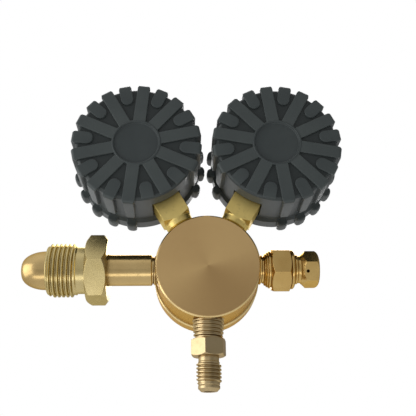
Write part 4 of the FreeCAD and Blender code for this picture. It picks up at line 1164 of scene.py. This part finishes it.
def ridge_shape(sections):
    """A closed ridge through sections of equally many points."""
    mesh = bmesh.new()
    rings = [[mesh.verts.new(point) for point in section] for section in sections]
    for before, after in zip(rings, rings[1:]):
        bridge(mesh, before, after)
    mesh.faces.new(rings[0])
    mesh.faces.new(rings[-1])
    return closed_shape(mesh)


def lug_shape(start, pointed, over_edge):
    """A lug on the back, from its start, square or round, to the edge, and down the side if it
    goes over the edge. Round the edge and down the side it grows narrower."""
    root_depth = recess + 0.3
    first_section = lug_section((start, boot_back), (start, root_depth), lug_half)
    sections = []
    if pointed:
        steps = 6
        for step in range(steps + 1):
            turn = radians(3 + 87 * step / steps)
            sections.append([(start + lug_half - abs(aside) * cos(turn), aside * sin(turn), depth)
                             for reach, aside, depth in first_section])
    else:
        sections.append(first_section)
    edge = lug_radius - lug_corner if over_edge else boot_radius - 1.0
    sections.append(lug_section((edge, boot_back), (edge, root_depth), lug_half))
    if not over_edge:
        end = (boot_radius - 0.3, boot_back + 0.35)
        sections.append(lug_section(end, (edge, root_depth), lug_half))
        return ridge_shape(sections)
    steps = 4
    narrowing = 1 - LUG_SIDE[0][2]
    for step in range(1, steps + 1):
        turn = radians(90 * step / steps)
        crown = (edge + lug_corner * sin(turn), boot_back + lug_corner * (1 - cos(turn)))
        half = lug_half * (1 - narrowing * sin(turn) ** 2)
        sections.append(lug_section(crown, (side_radius, boot_back + 2.2), half))
    for depth, height, taper in LUG_SIDE:
        reach = side_radius + (lug_radius - side_radius) * height
        sections.append(lug_section((reach, depth), (side_radius, depth), lug_half * taper))
    return ridge_shape(sections)


def knob_shape():
    """A short stud on the front band. The smaller the powers, the squarer it is."""
    end_power, plan_power, crown_power = 0.15, 0.08, 0.34
    steps, steps_across = 12, 10
    root = band_radius - 1.2
    middle = (knob_start + knob_end) / 2
    sections = []
    for step in range(steps + 1):
        turn = radians(-86 + 172 * step / steps)
        depth = middle + (knob_end - knob_start) / 2 * sin(turn)
        height = (knob_radius - root) * cos(turn) ** end_power
        half = knob_half * cos(turn) ** plan_power
        section = []
        for index in range(steps_across + 1):
            aside = radians(-90 + 180 * index / steps_across)
            reach = root + height * max(cos(aside), 0) ** crown_power
            section.append((reach, half * sin(aside), depth))
        sections.append(section)
    return ridge_shape(sections)


def lugs(rubber, count, first, start, pointed=False, over_edge=True):
    """Lugs of one kind round the back, from the first one's angle in degrees. Those that go over
    the edge leave out the plain side."""
    lug = lug_shape(start, pointed, over_edge)
    return round_pattern(lug, rubber, count, first, lug_step, plain_half if over_edge else 0.0)


for gauge in GAUGES:
    rubber = boot_rubber(gauge)
    cup = turned_shape([
        (0, boot_back + 0.8),
        (dish_radius - 0.3, boot_back + 0.8),
        (dish_radius, boot_back + 0.1),
        (dish_radius + 0.2, boot_back - 0.25),
        (dish_radius + 0.7, boot_back - 0.25),
        (dish_radius + 1.1, boot_back + 0.1),
        (dish_radius + 1.2, recess),
        (boot_radius - 1.2, recess),
        (boot_radius, recess + 1.2), (boot_radius, band_start),
        (band_radius, band_start + 1), (band_radius, boot_front - 1.0),
        (band_radius - 1.0, boot_front),
        (lip_radius, boot_front), (lip_radius, lip_seat),
        (cup_inside, lip_seat), (cup_inside, boot_floor),
        (0, boot_floor),
    ], sides=160, soft=0.4)
    hole = bar_shape_between((-hole_half, -knob_radius - 1, -hole_half),
                             (hole_half, -knob_radius / 2, hole_half))
    by_stem = 270 + BOOT_TWIST[gauge]
    shapes = [
        rounded(combined(cup, hole, "DIFFERENCE"), 0.3, 60),
        lugs(rubber, 10, by_stem, long_start),
        lugs(rubber, 10, by_stem + lug_step / 2, short_start, pointed=True),
        lugs(rubber, 1, by_stem, long_start, over_edge=False),
        lugs(rubber, 2, by_stem - lug_step / 2, short_start, pointed=True, over_edge=False),
        round_pattern(knob_shape(), rubber, 20, by_stem, lug_step / 2, plain_half),
    ]
    fit(f"{gauge}_rubber_boot", shapes, to_dial(gauge), rubber,
        "core", "boot_rubber", f"{gauge}_boot")

# The stand
# A pale floor that glows on the dials' side, a white room that is dimmer on the right and on the
# camera's side, a soft box on the left, a low strip in front, and a soft box for the dials.

floor_drop = 0.3
full_glow_y, faint_glow_y = -0.45, -0.12
faint_glow = 0.35
floor_mesh = bmesh.new()
bmesh.ops.create_grid(floor_mesh, x_segments=1, y_segments=1, size=3)
floor_shape = closed_shape(floor_mesh)
floor_finish = Finish("pale_floor", roughness=0.8, emission_strength=0.45)
floor_y = floor_finish.parts_of(floor_finish.place)[1]
floor_glow = floor_finish.remap(floor_y, full_glow_y, faint_glow_y, 1.0, faint_glow)
floor_finish.set(base_color=(0.86, 0.86, 0.86))
floor_finish.set(emission_color=floor_finish.mix(floor_glow, (0, 0, 0), (1, 1, 1)))
floor_place = Matrix.Translation((0, 0, -floor_drop))
floor = joined("floor", [floor_shape], floor_place, floor_finish.material)


def soft_lamp(name, place, size, power, aim=(0, 0, 0.02)):
    """A soft box that looks at the object."""
    light = bpy.data.lights.new(name, "AREA")
    light.shape = "RECTANGLE"
    light.size, light.size_y = size
    light.energy = power
    light.spread = radians(130)
    lamp = put_in_scene(name, light)
    lamp.location = place
    lamp.rotation_euler = (Vector(aim) - Vector(place)).to_track_quat("-Z", "Y").to_euler()
    lamp.visible_camera = False


soft_lamp("left_box", (0.58, 0.16, 0.0), (0.56, 0.56), 1.04)
soft_lamp("front_card", (0.06, 0.20, -0.24), (0.50, 0.09), 0.11)
soft_lamp("dial_box", (-0.05, -0.50, 0.30), (0.40, 0.40), 1.5)

world = bpy.data.worlds.new("white_room")
bpy.context.scene.world = world
world.use_nodes = True
room = Nodes(world.node_tree)
background = room.tree.nodes["Background"]
room_light = 0.45
front_wall = 0.70
right_wall = 0.40
front_from, front_full = 0.45, 0.85
right_full, right_from = -0.45, 0.0
direction = Value(room, room.tree.nodes.new("ShaderNodeTexCoord").outputs["Generated"])
left, back = room.parts_of(direction)[:2]
front_tone = room.remap(back, front_from, front_full, 1.0, front_wall)
right_tone = room.remap(left, right_full, right_from, right_wall, 1.0)
ray = room.tree.nodes.new("ShaderNodeLightPath").outputs
by_camera = Value(room, ray["Is Camera Ray"])
walls = room.maths("MAXIMUM", front_tone * right_tone, by_camera)
seen = room.maths("ADD", by_camera, Value(room, ray["Is Glossy Ray"]))
seen = room.maths("ADD", seen, Value(room, ray["Is Transmission Ray"]), clamped=True)
room.feed(background.inputs["Strength"], room_light + seen * (walls - room_light))
room.feed(background.inputs["Color"], (1, 1, 1))

# Camera
# It looks at the turned back from a third of a metre away, 21 degrees from below, and is rolled
# a little.

frame_pixels = 416
focal_pixels = 700
camera_distance = 0.326
camera_azimuth = radians(-2.0)
camera_drop = radians(20.9)
camera_roll = radians(-0.81)
camera_target = Vector((-0.0003, 0, 0.0275))

lens = bpy.data.cameras.new("camera")
lens.sensor_width = 36
lens.lens = lens.sensor_width * focal_pixels / frame_pixels
lens.clip_start = 0.01
camera = put_in_scene("camera", lens)
outward = Vector((-sin(camera_azimuth) * cos(camera_drop), cos(camera_azimuth) * cos(camera_drop),
                  -sin(camera_drop)))
camera_stand = Matrix.Translation(camera_target + outward * camera_distance)
facing = (-outward).to_track_quat("-Z", "Y").to_matrix().to_4x4()
camera.matrix_world = camera_stand @ facing @ Matrix.Rotation(camera_roll, 4, "Z")
bpy.context.scene.camera = camera
bpy.context.scene.view_settings.view_transform = "Standard"
